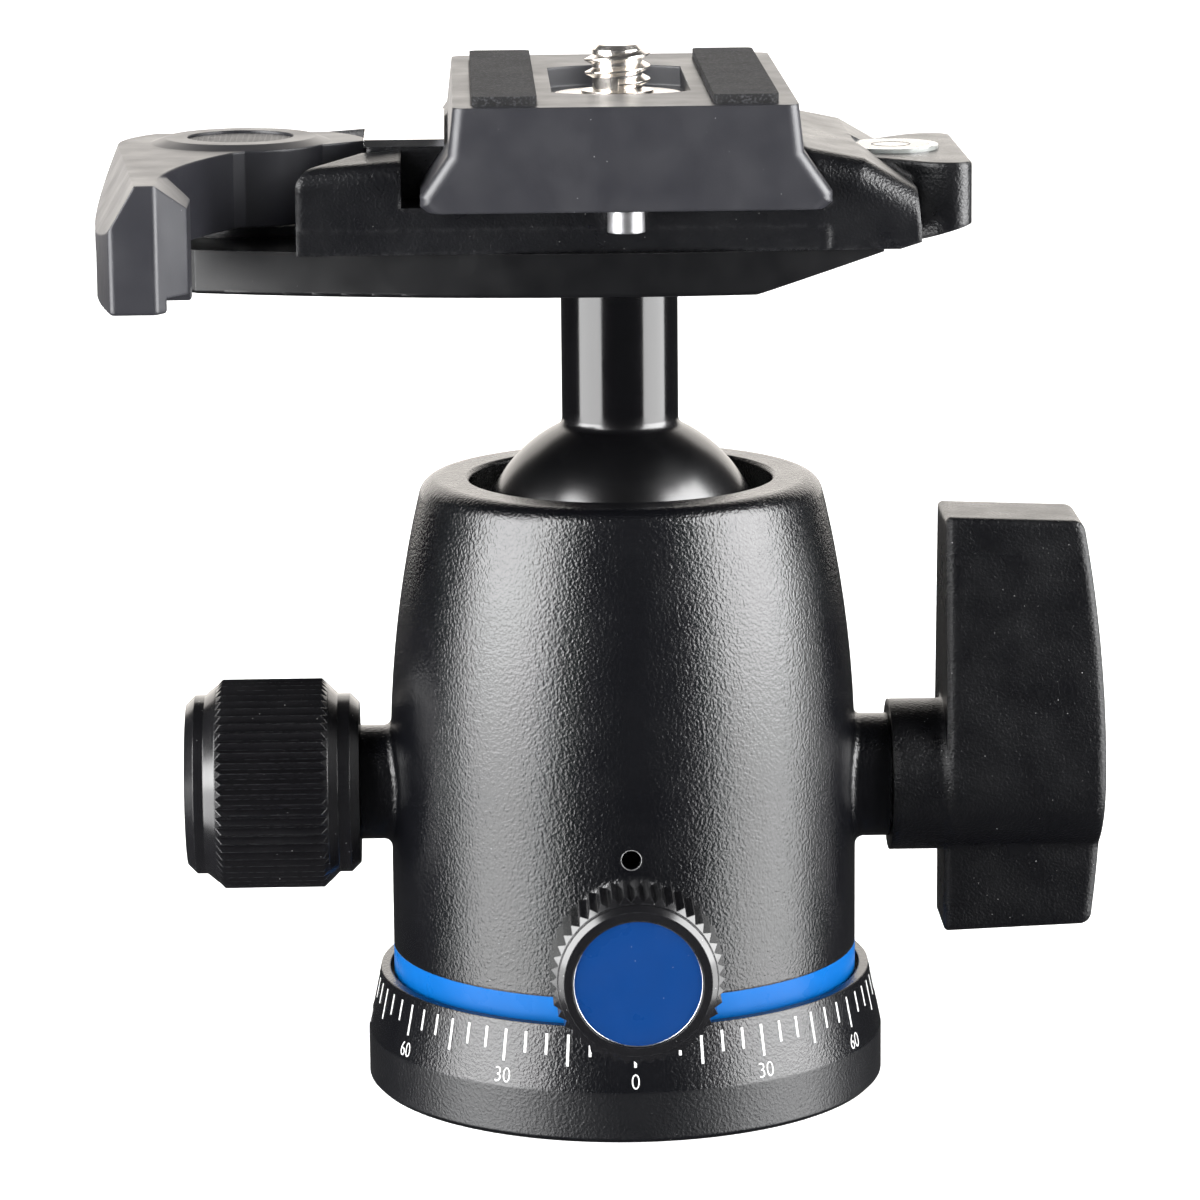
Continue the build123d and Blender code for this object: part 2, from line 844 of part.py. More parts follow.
def make_pan_brake_shoe():
    """Nylon shoe whose nose runs in the hub's groove."""
    nose = hub_radius - groove_depth + free_gap
    shoulder = hub_radius + free_gap
    solid = rod(shoe_nose_radius, nose, shoulder + 0.1)
    return pan_side(solid + rod(shoe_radius, shoulder, shoulder + shoe_length))


# ------------------------------------------------------------------ platform pieces
def dish_side(x):
    """Half width of the dish at a distance along X."""
    return dish_half_width - dish_side_curve + math.sqrt(dish_side_curve**2 - x**2)


def make_platform_dish():
    """Dish under the clamp: arched sides, round left end and a rising right underside."""
    corner = (dish_left_corner, dish_side(dish_left_corner))
    end = (dish_right, dish_side(dish_right))
    outline = ThreePointArc((corner[0], -corner[1]), (0, -dish_half_width), (end[0], -end[1]))
    outline += Line((end[0], -end[1]), end)
    outline += ThreePointArc(end, (0, dish_half_width), corner)
    outline += ThreePointArc(corner, (dish_left, 0), (corner[0], -corner[1]))
    solid = extrude(Pos(0, 0, dish_bottom) * make_face(outline), dish_thickness)
    solid -= underside_cut(dish_half_width + 1)
    foot = [edge for edge in solid.edges() if edge.bounding_box().max.Z < dish_bottom + 0.01]
    solid = fillet(foot, dish_edge)
    solid -= rod(stem_radius + running_fit, dish_bottom - 1, stem_top)
    solid -= rod(platform_screw_radius + running_fit, stem_top - 1, dish_top + 1)
    for x in clamp_screw_places:
        solid -= countersunk(clamp_screw_radius + press_fit, clamp_screw_head, dish_bottom, dish_top + 1, x)
    tip = pivot_bolt_tip + press_fit
    return solid - rod(tip, dish_bottom + dish_edge, dish_top + 1, lever_pivot_x)


def underside_cut(half_width):
    """Wedge under the sloping right underside."""
    reach = ear_right + 1
    rise = (reach - dish_slope_start) * slope_rise
    points = [
        (dish_slope_start, dish_bottom),
        (dish_slope_start, dish_bottom - 1),
        (reach, dish_bottom - 1),
        (reach, dish_bottom + rise),
    ]
    return profile_bar(points, -half_width, half_width)


def countersunk(radius, head, low, high, x):
    """Cutter or body of a countersunk screw with its head down, at a distance along X."""
    solid = turned([(0, low), (head, low), (radius, low + head - radius), (radius, high), (0, high)])
    return Pos(x, 0, 0) * solid


def make_platform_screw():
    """Countersunk screw that holds the clamp and the dish on the stem."""
    high = clamp_floor - platform_screw_inset
    low = stem_top - platform_screw_bite
    radius = platform_screw_radius
    head = platform_screw_head
    solid = turned([(0, low), (radius, low), (radius, high - head + radius), (head, high), (0, high)])
    return solid - hexagon(platform_screw_hex, high - platform_screw_hex_depth, high + 1)


def make_clamp_screws():
    """Two screws that hold the casting on the dish from below."""
    high = dish_top + clamp_screw_bite - face_gap
    screws = []
    for x in clamp_screw_places:
        screw = countersunk(clamp_screw_radius, clamp_screw_head - press_fit, dish_bottom, high, x)
        socket = hexagon(clamp_screw_hex, dish_bottom - 1, dish_bottom + clamp_screw_hex_depth)
        screws.append(screw - Pos(x, 0, 0) * socket)
    return screws


def left_block(height):
    """One of the casting's two blocks beside the lever's nose, at the front."""
    front = -clamp_half_length
    inner = front + block_width
    plan = [
        (block_left, front),
        (block_right, front),
        (block_right, inner),
        (block_inner_left, inner),
    ]
    solid = prism(plan, slab_top, clamp_floor + height)
    top = Plane(
        origin=(block_right, inner, clamp_floor + height),
        x_dir=(1, 0, block_fall_left),
        z_dir=(-block_fall_left, -block_fall_out, 1),
    )
    solid = split(solid, bisect_by=top, keep=Keep.BOTTOM)
    front_face = solid.faces().sort_by(Axis.Y)[0]
    return fillet(front_face.edges().sort_by(lambda e: e.center().Z)[-1], block_fillet)


def fixed_jaw():
    """Fixed dovetail jaw with its rounded outer shoulder."""
    waist = plate_waist_half + face_gap
    lip = plate_lip_half + face_gap
    crest = clamp_floor + fixed_jaw_crest
    slope = (lip - waist) / (plate_waist - plate_lip_top)
    section = [
        (lip, clamp_floor),
        (lip, plate_lip_top),
        (lip - (crest - plate_lip_top) * slope, crest),
        (fixed_jaw_shoulder[0], clamp_floor + fixed_jaw_shoulder[1]),
        (fixed_jaw_outer[0], clamp_floor + fixed_jaw_outer[1]),
        (fixed_jaw_foot, dish_top + (fixed_jaw_foot - dish_right) * slope_rise),
        (lip, dish_top),
    ]
    solid = profile_bar(section, -clamp_half_length, clamp_half_length)
    rounded = [
        edge
        for edge in solid.edges()
        if abs(abs(edge.center().Y) - clamp_half_length) < 0.01
        and edge.center().Z > clamp_floor + fixed_jaw_outer[1] / 2
        and edge.center().X > plate_lip_half
    ]
    return fillet(rounded, jaw_end_fillet)


def level_ear():
    """Rounded ear on the right that holds the bubble level."""
    low = dish_top - 2 * ear_drop
    half = ear_half_width
    root = ear_root_half
    plan = [
        (ear_left, -root),
        (ear_shoulder, -half),
        (ear_right, -half),
        (ear_right, half),
        (ear_shoulder, half),
        (ear_left, root),
    ]
    solid = prism(plan, low, ear_top)
    corners = solid.edges().filter_by(Axis.Z).sort_by(Axis.X)[-4:]
    solid = fillet(corners[:2], ear_shoulder_round)
    solid = fillet(upright_edges(solid, [(ear_right, -half), (ear_right, half)]), ear_corner)
    top_rim = [
        edge
        for edge in solid.faces().sort_by(Axis.Z)[-1].edges()
        if edge.center().X > ear_left + 0.01
    ]
    solid = fillet(top_rim, ear_edge)
    wide = (-clamp_half_length, clamp_half_length)
    under = block((0, ear_right + 1), wide, (low - 1, dish_top))
    root = solid - under - underside_cut(clamp_half_length)
    foot = solid - block((0, ear_foot_left), wide, (low - 1, ear_top + 1))
    return root + (foot - Pos(0, 0, -ear_drop) * underside_cut(clamp_half_length))


def make_clamp_body():
    """Clamp casting: slab, floor, left blocks, fixed jaw, level ear and lever pad."""
    slab_half = clamp_half_length - slab_inset
    solid = block((block_left, fixed_jaw_foot), (-slab_half, slab_half), (dish_top, slab_top))
    floor_half = clamp_half_length
    solid += block((block_right, plate_lip_half + 1), (-floor_half, floor_half), (slab_top, clamp_floor))
    inner = clamp_half_length - block_width
    solid -= block((block_left - 1, block_right), (-inner, inner), (pivot_pad_top, slab_top + 1))
    solid += left_block(block_height)
    solid += mirror(left_block(rear_block_height), Plane.XZ)
    channel = (ear_left - 1, plate_lip_half + face_gap)
    solid += fixed_jaw()
    solid -= underside_cut(clamp_half_length + 1)
    ear = level_ear()
    solid += ear - block(channel, (-clamp_half_length, clamp_half_length), (clamp_floor, plate_top))
    solid += rod(pivot_pad_radius, dish_top, pivot_pad_top, lever_pivot_x)
    web = pivot_web_half
    solid += block((lever_pivot_x, block_left + 1), (-web, web), (dish_top, pivot_pad_top))
    screw_top = clamp_floor - platform_screw_inset
    radius = platform_screw_radius + running_fit
    head = platform_screw_head + running_fit
    solid -= turned(
        [
            (0, dish_top - 1),
            (radius, dish_top - 1),
            (radius, screw_top - head + radius),
            (head, screw_top),
            (head, clamp_floor + 1),
            (0, clamp_floor + 1),
        ]
    )
    for x in clamp_screw_places:
        solid -= rod(clamp_screw_radius + press_fit, dish_top - 1, dish_top + clamp_screw_bite, x)
    for y in keel_places:
        solid -= keel_pocket(y)
        solid -= guide_pin(y, guide_pin_radius + press_fit)
    solid -= rod(pivot_bolt_tip + press_fit, dish_top - 1, pivot_pad_top + 1, lever_pivot_x)
    return solid - rod(level_radius + press_fit, ear_top - level_depth, ear_top + 1, level_x)


def keel_pocket(y):
    """Pocket in the floor for one keel of the movable jaw."""
    left = keel_left - jaw_travel - free_gap
    low = clamp_floor - keel_depth - free_gap
    side = pocket_half_width
    return block((left, pocket_right), (y - side, y + side), (low, clamp_floor + 1))


def guide_pin(y, radius):
    """Pin along X through one keel pocket."""
    left = keel_left + guide_pin_inset
    length = pocket_right + guide_pin_bite - left
    side = y - math.copysign(guide_pin_side, y)
    height = clamp_floor - keel_depth / 2
    return Pos(left, side, height) * Rot(0, 90, 0) * Cylinder(radius, length, align=LOWER)


def make_jaw_guide_pins():
    """Two steel pins that the movable jaw slides on."""
    return [guide_pin(y, guide_pin_radius) for y in keel_places]


def make_jaw_springs():
    """Two folded flat springs that push the movable jaw open."""
    springs = []
    start = keel_right + face_gap
    pitch = (pocket_right - face_gap - start) / spring_folds
    strip = spring_strip
    for y in keel_places:
        near = abs(y) + pocket_half_width - 2 * spring_width
        far = near + spring_width + strip
        front = [(start, near)]
        for fold in range(spring_folds):
            front.append((start + (fold + 0.5) * pitch, far if fold % 2 == 0 else near))
        front.append((start + spring_folds * pitch, near))
        half = strip / 2
        ribbon = [(x, side + half) for x, side in front] + [(x, side - half) for x, side in reversed(front)]
        sign = math.copysign(1, y)
        outline = [(x, sign * side) for x, side in ribbon]
        low = clamp_floor - keel_depth + face_gap
        springs.append(prism(outline, low, low + spring_height))
    return springs


# ------------------------------------------------------------------ bubble level
def make_level_case():
    """Cup of the bubble level, pressed in the ear."""
    low = ear_top - level_depth
    high = ear_top + level_stand
    return rod(level_radius, low, high) - rod(level_radius - level_wall, low + level_floor, high + 1)


def make_level_liquid():
    """Liquid that fills the level under its window."""
    low = ear_top - level_depth + level_floor
    high = ear_top + level_stand - window_thickness
    return rod(level_radius - level_wall - press_fit, low, high)


def make_level_window():
    """Clear window of the level."""
    high = ear_top + level_stand
    return rod(level_radius - level_wall - press_fit, high - window_thickness, high)


# ------------------------------------------------------------------ movable jaw
def make_movable_jaw():
    """Sliding dovetail jaw between the blocks, with two keels on the guide pins."""
    waist = plate_waist_half + face_gap
    lip = plate_lip_half + face_gap
    bottom = clamp_floor + face_gap
    slope = (lip - waist) / (plate_waist - plate_lip_top)
    section = [
        (jaw_left, bottom),
        (-lip, bottom),
        (-lip, plate_lip_top),
        (-lip + (jaw_top - plate_lip_top) * slope, jaw_top),
        (jaw_left, jaw_top),
    ]
    solid = profile_bar(section, -jaw_half_length, jaw_half_length)
    side = keel_half_width
    for y in keel_places:
        keel = block((keel_left, -lip), (y - side, y + side), (clamp_floor - keel_depth, bottom))
        foot_top = clamp_floor - face_gap
        keel += block((keel_left, keel_right), (y - side, y + side), (clamp_floor - keel_depth, foot_top))
        solid += keel
        solid -= guide_pin(y, guide_pin_radius + running_fit)
    for y in cover_screw_places:
        bite = jaw_top - cover_screw_length
        solid -= rod(cover_screw_radius + press_fit, bite, jaw_top + 1, cover_middle(), y)
    return solid


def cover_right():
    """Right edge of the jaw cover, beside the plate."""
    return -plate_waist_half - free_gap


def cover_middle():
    """Middle of the jaw cover along X."""
    return (jaw_cover_left + cover_right()) / 2


def make_jaw_cover():
    """Bright strip screwed on the movable jaw."""
    half = jaw_half_length - jaw_cover_inset
    high = cover_bottom + jaw_cover_thickness
    solid = block((jaw_cover_left, cover_right()), (-half, half), (cover_bottom, high))
    for y in cover_screw_places:
        solid -= rod(cover_screw_radius + press_fit, cover_bottom - 1, high + 1, cover_middle(), y)
    return solid


def make_jaw_cover_screws():
    """Two flush screws of the jaw cover."""
    high = cover_bottom + jaw_cover_thickness
    low = jaw_top - cover_screw_length
    return [rod(cover_screw_radius, low, high, cover_middle(), y) for y in cover_screw_places]


# ------------------------------------------------------------------ clamp lever
def lever_plan():
    """Plan of the arm from the cam nose round the pivot to the finger tab."""
    front = (lever_tab_inner, lever_tab_front)
    outer = (lever_tab_outer, lever_tab_front)
    outline = Polyline(lever_nose, lever_front_neck)
    outline += ThreePointArc(lever_front_neck, lever_front_middle, front)
    outline += Line(front, outer)
    outline += ThreePointArc(outer, lever_wall_middle, lever_wall_end)
    outline += ThreePointArc(lever_wall_end, lever_rear_middle, lever_rear)
    outline += Line(lever_rear, lever_nose_rear)
    outline += ThreePointArc(lever_nose_rear, lever_nose_side, lever_nose)
    return make_face(outline)


def lever_arm():
    """Arm of the lever at its full height."""
    solid = extrude(Pos(0, 0, lever_bottom) * lever_plan(), lever_thickness)
    solid = fillet(upright_edges(solid, [lever_nose]), lever_tip_fillet)
    front = (lever_tab_inner, lever_tab_front)
    outer = (lever_tab_outer, lever_tab_front)
    return fillet(upright_edges(solid, [front, outer, lever_rear]), lever_corner_fillet)


def upright_edges(solid, places):
    """Upright edges of a prism at plan points."""
    return [
        edge
        for edge in solid.edges().filter_by(Axis.Z)
        if any(math.dist((edge.center().X, edge.center().Y), place) < 0.01 for place in places)
    ]


def lever_slope():
    """Plane of the lever's sloped outer top."""
    along = Vector(lever_wall_end[0] - lever_slope_front, lever_wall_end[1] - lever_tab_front, 0)
    down = Vector(-lever_slope_width, 0, -lever_slope_drop)
    origin = (lever_slope_front, lever_tab_front, lever_top)
    return Plane(origin=origin, x_dir=along, z_dir=along.cross(down))


def lever_tab():
    """Hollow finger tab that hangs from the end of the arm, open below."""
    inner = lever_tab_inner
    front = lever_tab_front
    belly_x, belly_y = lever_tab_belly
    wall_x = lever_wall_middle[0]
    low = lever_bottom - lever_tab_drop
    height = lever_top - low
    solid = extrude(Pos(0, 0, low) * lever_plan(), height)
    solid &= block((wall_x - 1, belly_x), (front, lever_tab_rear), (low, lever_top))
    corners = [(lever_tab_outer, front), (inner, front), (belly_x, belly_y), (belly_x, lever_tab_rear)]
    solid += prism(corners + [(lever_tab_outer, lever_tab_rear)], low, lever_top)
    solid = fillet(upright_edges(solid, corners), lever_tab_fillet)
    solid = fillet(solid.faces().sort_by(Axis.Z)[0].edges(), lever_tab_edge)
    fall = Plane(origin=(inner, front, lever_top), x_dir=(0, 1, 0), z_dir=(lever_belly_fall, 0, 1))
    solid = split(solid, bisect_by=fall, keep=Keep.BOTTOM)
    wall = lever_tab_wall
    room = [
        (inner - wall / 2, front + wall),
        (belly_x - wall, belly_y + wall / 2),
        (belly_x - wall, lever_tab_rear - wall),
        (wall_x + wall, lever_tab_rear - wall),
        (lever_tab_outer + wall, front + wall),
    ]
    solid -= prism(room, low - 1, low + lever_tab_hollow)
    notch_y = (front + wall, lever_tab_rear - wall)
    return solid - block((belly_x - 2 * wall, belly_x + 1), notch_y, (low - 1, low + lever_tab_notch))


def make_clamp_lever():
    """Clamp lever with cam nose, raised pivot ring and hanging finger tab."""
    pivot = lever_pivot_x
    solid = split(lever_arm() + lever_tab(), bisect_by=lever_slope(), keep=Keep.BOTTOM)
    solid += rod(lever_boss_radius, lever_bottom, lever_top, pivot)
    ring = turned(
        [
            (0, lever_top - 1),
            (lever_boss_radius, lever_top - 1),
            (lever_boss_radius, lever_top),
            (lever_boss_top_radius, lever_boss_top),
            (0, lever_boss_top),
        ]
    )
    solid += Pos(pivot, 0, 0) * ring
    solid -= rod(lever_recess_radius, cap_seat(), lever_boss_top + 1, pivot)
    solid -= rod(lever_seat_radius, lever_seat, lever_boss_top + 1, pivot)
    return solid - rod(pivot_bolt_radius + running_fit, lever_bottom - 1, lever_boss_top, pivot)


def cap_seat():
    """Height of the ledge under the lever's cap."""
    return lever_boss_top - lever_cap_inset - lever_cap_thickness


def make_lever_cap():
    """Textured disc that hides the pivot bolt."""
    low = cap_seat()
    return rod(lever_recess_radius - press_fit, low, low + lever_cap_thickness, lever_pivot_x)


def make_lever_washer():
    """Washer under the head of the pivot bolt."""
    low = lever_seat + face_gap
    ring = tube(pivot_bolt_head, pivot_bolt_radius + press_fit, low, lever_washer_top)
    return Pos(lever_pivot_x, 0, 0) * ring


def make_lever_pivot_bolt():
    """Shoulder bolt that the lever turns on."""
    solid = rod(pivot_bolt_tip, dish_bottom + dish_edge + face_gap, pivot_pad_top + 0.1)
    solid += rod(pivot_bolt_radius, pivot_pad_top, lever_washer_top + 0.1)
    solid += rod(pivot_bolt_head, lever_washer_top, bolt_head_top)
    solid -= hexagon(pivot_bolt_hex, bolt_head_top - pivot_bolt_hex_depth, bolt_head_top + 1)
    return Pos(lever_pivot_x, 0, 0) * solid


# ------------------------------------------------------------------ camera plate
def window_prism(half_width, half_length, low, high):
    """Slot with shallow round ends."""
    drop = window_end_curve - math.sqrt(window_end_curve**2 - half_width**2)
    shoulder = half_length - drop
    outline = Line((-half_width, -shoulder), (-half_width, shoulder))
    outline += ThreePointArc((-half_width, shoulder), (0, half_length), (half_width, shoulder))
    outline += Line((half_width, shoulder), (half_width, -shoulder))
    outline += ThreePointArc((half_width, -shoulder), (0, -half_length), (-half_width, -shoulder))
    return extrude(Pos(0, 0, low) * make_face(outline), high - low)


def pad_plan(side, low, high):
    """Rounded strip for one rubber pad."""
    x = side * (pad_inner + pad_width / 2)
    strip = RectangleRounded(pad_width, pad_rear - pad_front, pad_corner)
    return extrude(Pos(x, (pad_rear + pad_front) / 2, low) * strip, high - low)


def make_camera_plate():
    """Dovetail plate with the screw window, pad recesses and stop screw holes."""
    foot = plate_bottom
    half_section = [
        (plate_foot_half, foot),
        (plate_lip_half, foot + plate_lip_foot),
        (plate_lip_half, plate_lip_top),
        (plate_waist_half, plate_waist),
        (plate_top_half, plate_top),
    ]
    section = half_section + [(-x, z) for x, z in reversed(half_section)]
    solid = profile_bar(section, -plate_half_length, plate_half_length)
    upright = [
        edge
        for edge in solid.edges()
        if abs(edge.center().X) > plate_top_half - 1
        and abs(abs(edge.center().Y) - plate_half_length) < 0.01
        and edge.bounding_box().size.Z > plate_lip_foot / 2
    ]
    solid = fillet(upright, plate_corner)
    solid -= window_prism(window_half_width, window_half_length, window_floor, plate_top + 1)
    solid -= window_prism(camera_head_radius + free_gap, window_half_length, foot - 1, cavity_top)
    slot = SlotCenterToCenter(2 * screw_slide, 2 * shank_slot_half, rotation=90)
    solid -= extrude(Pos(0, 0, foot) * slot, plate_height)
    for side in (-1, 1):
        solid -= pad_plan(side, plate_top - pad_recess, plate_top + 1)
        y = side * stop_screw_place
        solid -= rod(stop_screw_shank + press_fit, foot - 1, foot + stop_screw_bite, 0, y)
    return solid


def make_pad(side):
    """Rubber pad glued in its recess."""
    return pad_plan(side, plate_top - pad_recess, plate_top + pad_height)


def make_stop_screws():
    """Two cap screws under the plate's ends that keep it from sliding out of the clamp."""
    screws = []
    low = plate_bottom - stop_screw_drop
    for side in (-1, 1):
        y = side * stop_screw_place
        screw = rod(stop_screw_radius, low, plate_bottom, 0, y)
        screw += rod(stop_screw_shank, plate_bottom - 0.1, plate_bottom + stop_screw_bite - face_gap, 0, y)
        screw -= Pos(0, y, 0) * hexagon(stop_screw_hex, low - 1, low + stop_screw_hex)
        screws.append(screw)
    return screws


def make_screw_flange():
    """Bright washer round the camera screw, on the window's floor."""
    low = flange_bottom
    return tube(flange_radius, camera_shank_radius + running_fit, low, low + flange_thickness)


def make_screw_clip():
    """Open clip in the screw's groove that keeps it in the plate."""
    low = clip_bottom
    high = low + clip_thickness
    ring = tube(clip_radius, clip_groove_radius + running_fit, low, high)
    return ring - block((-clip_mouth, clip_mouth), (0, clip_radius + 1), (low - 1, high + 1))


def make_camera_screw():
    """Camera screw with a coin-slotted head, a clip groove and the 1/4"-20 thread."""
    crest = camera_thread_radius
    root = clip_groove_radius
    clip_low = clip_bottom - face_gap
    clip_high = clip_bottom + clip_thickness + face_gap
    head_top = camera_head_bottom + camera_head_height
    lead = crest - root
    pitch = camera_thread_pitch
    thread_root = crest - thread_depth_share * pitch
    thread = thread_corners(crest, thread_root, pitch, clip_high, camera_screw_top - lead)
    solid = turned(
        [
            (0, camera_head_bottom),
            (camera_head_radius, camera_head_bottom),
            (camera_head_radius, head_top),
            (camera_shank_radius, head_top),
            (camera_shank_radius, clip_low),
            (root, clip_low),
            (root, clip_high),
        ]
        + thread
        + [(root, camera_screw_top), (0, camera_screw_top)]
    )
    reach = camera_head_radius + 1
    half = camera_slot_width / 2
    slot_top = camera_head_bottom + camera_slot_depth
    return solid - block((-reach, reach), (-half, half), (camera_head_bottom - 1, slot_top))


# ------------------------------------------------------------------ assembly
def build_parts():
    """All pieces by node name."""
    knob_start = main_wing_inner + main_spindle_grip
    friction_start = friction_boss_reach + face_gap + friction_spindle_grip
    level = Pos(level_x, 0, 0)
    return {
        "pan_base": make_pan_base(),
        "tripod_bush": make_tripod_bush(),
        "pan_bearing_washer": make_pan_bearing_washer(),
        "pan_pivot_washer": make_pan_pivot_washer(),
        "pan_pivot_screw": make_pan_pivot_screw(),
        "housing": make_housing(),
        "trim_ring": make_trim_ring(),
        "upper_ball_seat": make_upper_ball_seat(),
        "housing_grub_screw": make_housing_grub_screw(),
        "main_bush": main_side(lock_bush(main_boss_reach)),
        "friction_bush": friction_side(lock_bush(friction_boss_reach)),
        "pan_bush": make_pan_bush(),
        "lock_wedge": make_lock_wedge(),
        "preload_washer": make_preload_washer(),
        "ball_cup": make_ball_cup(),
        "ball_stem": make_ball_stem(),
        "main_knob": make_main_knob(),
        "main_spindle": main_side(lock_spindle(knob_start)),
        "main_plug": main_side(nose_plug()),
        "friction_knob": make_friction_knob(),
        "friction_spindle": friction_side(lock_spindle(friction_start)),
        "friction_plug": friction_side(nose_plug()),
        "pan_knob": make_pan_knob(),
        "pan_knob_disc": make_pan_knob_disc(),
        "pan_spindle": make_pan_spindle(),
        "pan_brake_shoe": make_pan_brake_shoe(),
        "platform_dish": make_platform_dish(),
        "clamp_body": make_clamp_body(),
        "platform_screw": make_platform_screw(),
        "clamp_screws": make_clamp_screws(),
        "jaw_guide_pins": make_jaw_guide_pins(),
        "jaw_springs": make_jaw_springs(),
        "level_case": level * make_level_case(),
        "level_liquid": level * make_level_liquid(),
        "level_window": level * make_level_window(),
        "movable_jaw": make_movable_jaw(),
        "jaw_cover": make_jaw_cover(),
        "jaw_cover_screws": make_jaw_cover_screws(),
        "clamp_lever": make_clamp_lever(),
        "lever_cap": make_lever_cap(),
        "lever_washer": make_lever_washer(),
        "lever_pivot_bolt": make_lever_pivot_bolt(),
        "camera_plate": make_camera_plate(),
        "left_pad": make_pad(-1),
        "right_pad": make_pad(1),
        "stop_screws": make_stop_screws(),
        "screw_flange": make_screw_flange(),
        "screw_clip": make_screw_clip(),
        "camera_screw": make_camera_screw(),
    }


def main():
    """Write one STEP file for each node."""
    os.makedirs("parts", exist_ok=True)
    for name, shape in build_parts().items():
        solids = shape if isinstance(shape, list) else shape.solids()
        export_step(Compound(children=list(solids), label=name), f"parts/{name}.step")


main()
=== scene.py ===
import logging
import math
from dataclasses import dataclass, field, replace
from enum import Enum

import bpy
from mathutils import Matrix, Vector


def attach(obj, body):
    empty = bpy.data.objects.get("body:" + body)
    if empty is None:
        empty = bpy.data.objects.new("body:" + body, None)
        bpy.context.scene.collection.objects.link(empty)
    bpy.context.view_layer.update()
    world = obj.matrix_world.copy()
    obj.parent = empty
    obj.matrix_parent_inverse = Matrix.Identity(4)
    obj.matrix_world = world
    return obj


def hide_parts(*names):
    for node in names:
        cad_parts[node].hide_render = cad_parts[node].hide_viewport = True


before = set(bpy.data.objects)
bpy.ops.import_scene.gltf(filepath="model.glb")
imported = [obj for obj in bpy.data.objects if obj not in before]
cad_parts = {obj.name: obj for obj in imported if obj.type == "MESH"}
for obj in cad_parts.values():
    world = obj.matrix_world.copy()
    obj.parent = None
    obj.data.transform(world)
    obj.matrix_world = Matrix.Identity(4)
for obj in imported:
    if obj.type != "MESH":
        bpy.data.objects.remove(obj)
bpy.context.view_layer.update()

LOG = logging.getLogger("ball_head")

# Sizes are in millimetres where nothing else is said, and Blender's unit is the metre.
MM = 0.001
# Points nearer than this, in metres, are one point.
TINY = 1e-7
# Widest angle between two faces that is shaded smooth, in degrees.
SHALLOW_ANGLE = 32.0
ROUND_ANGLE = 80.0
QUARTER_TURN = math.pi / 2
WHITE = (1.0, 1.0, 1.0)

Colour = tuple[float, float, float]
Triple = tuple[float, float, float]
Pair = tuple[float, float]
Piece = bpy.types.Object
Socket = bpy.types.NodeSocket
Input = Socket | float | Colour


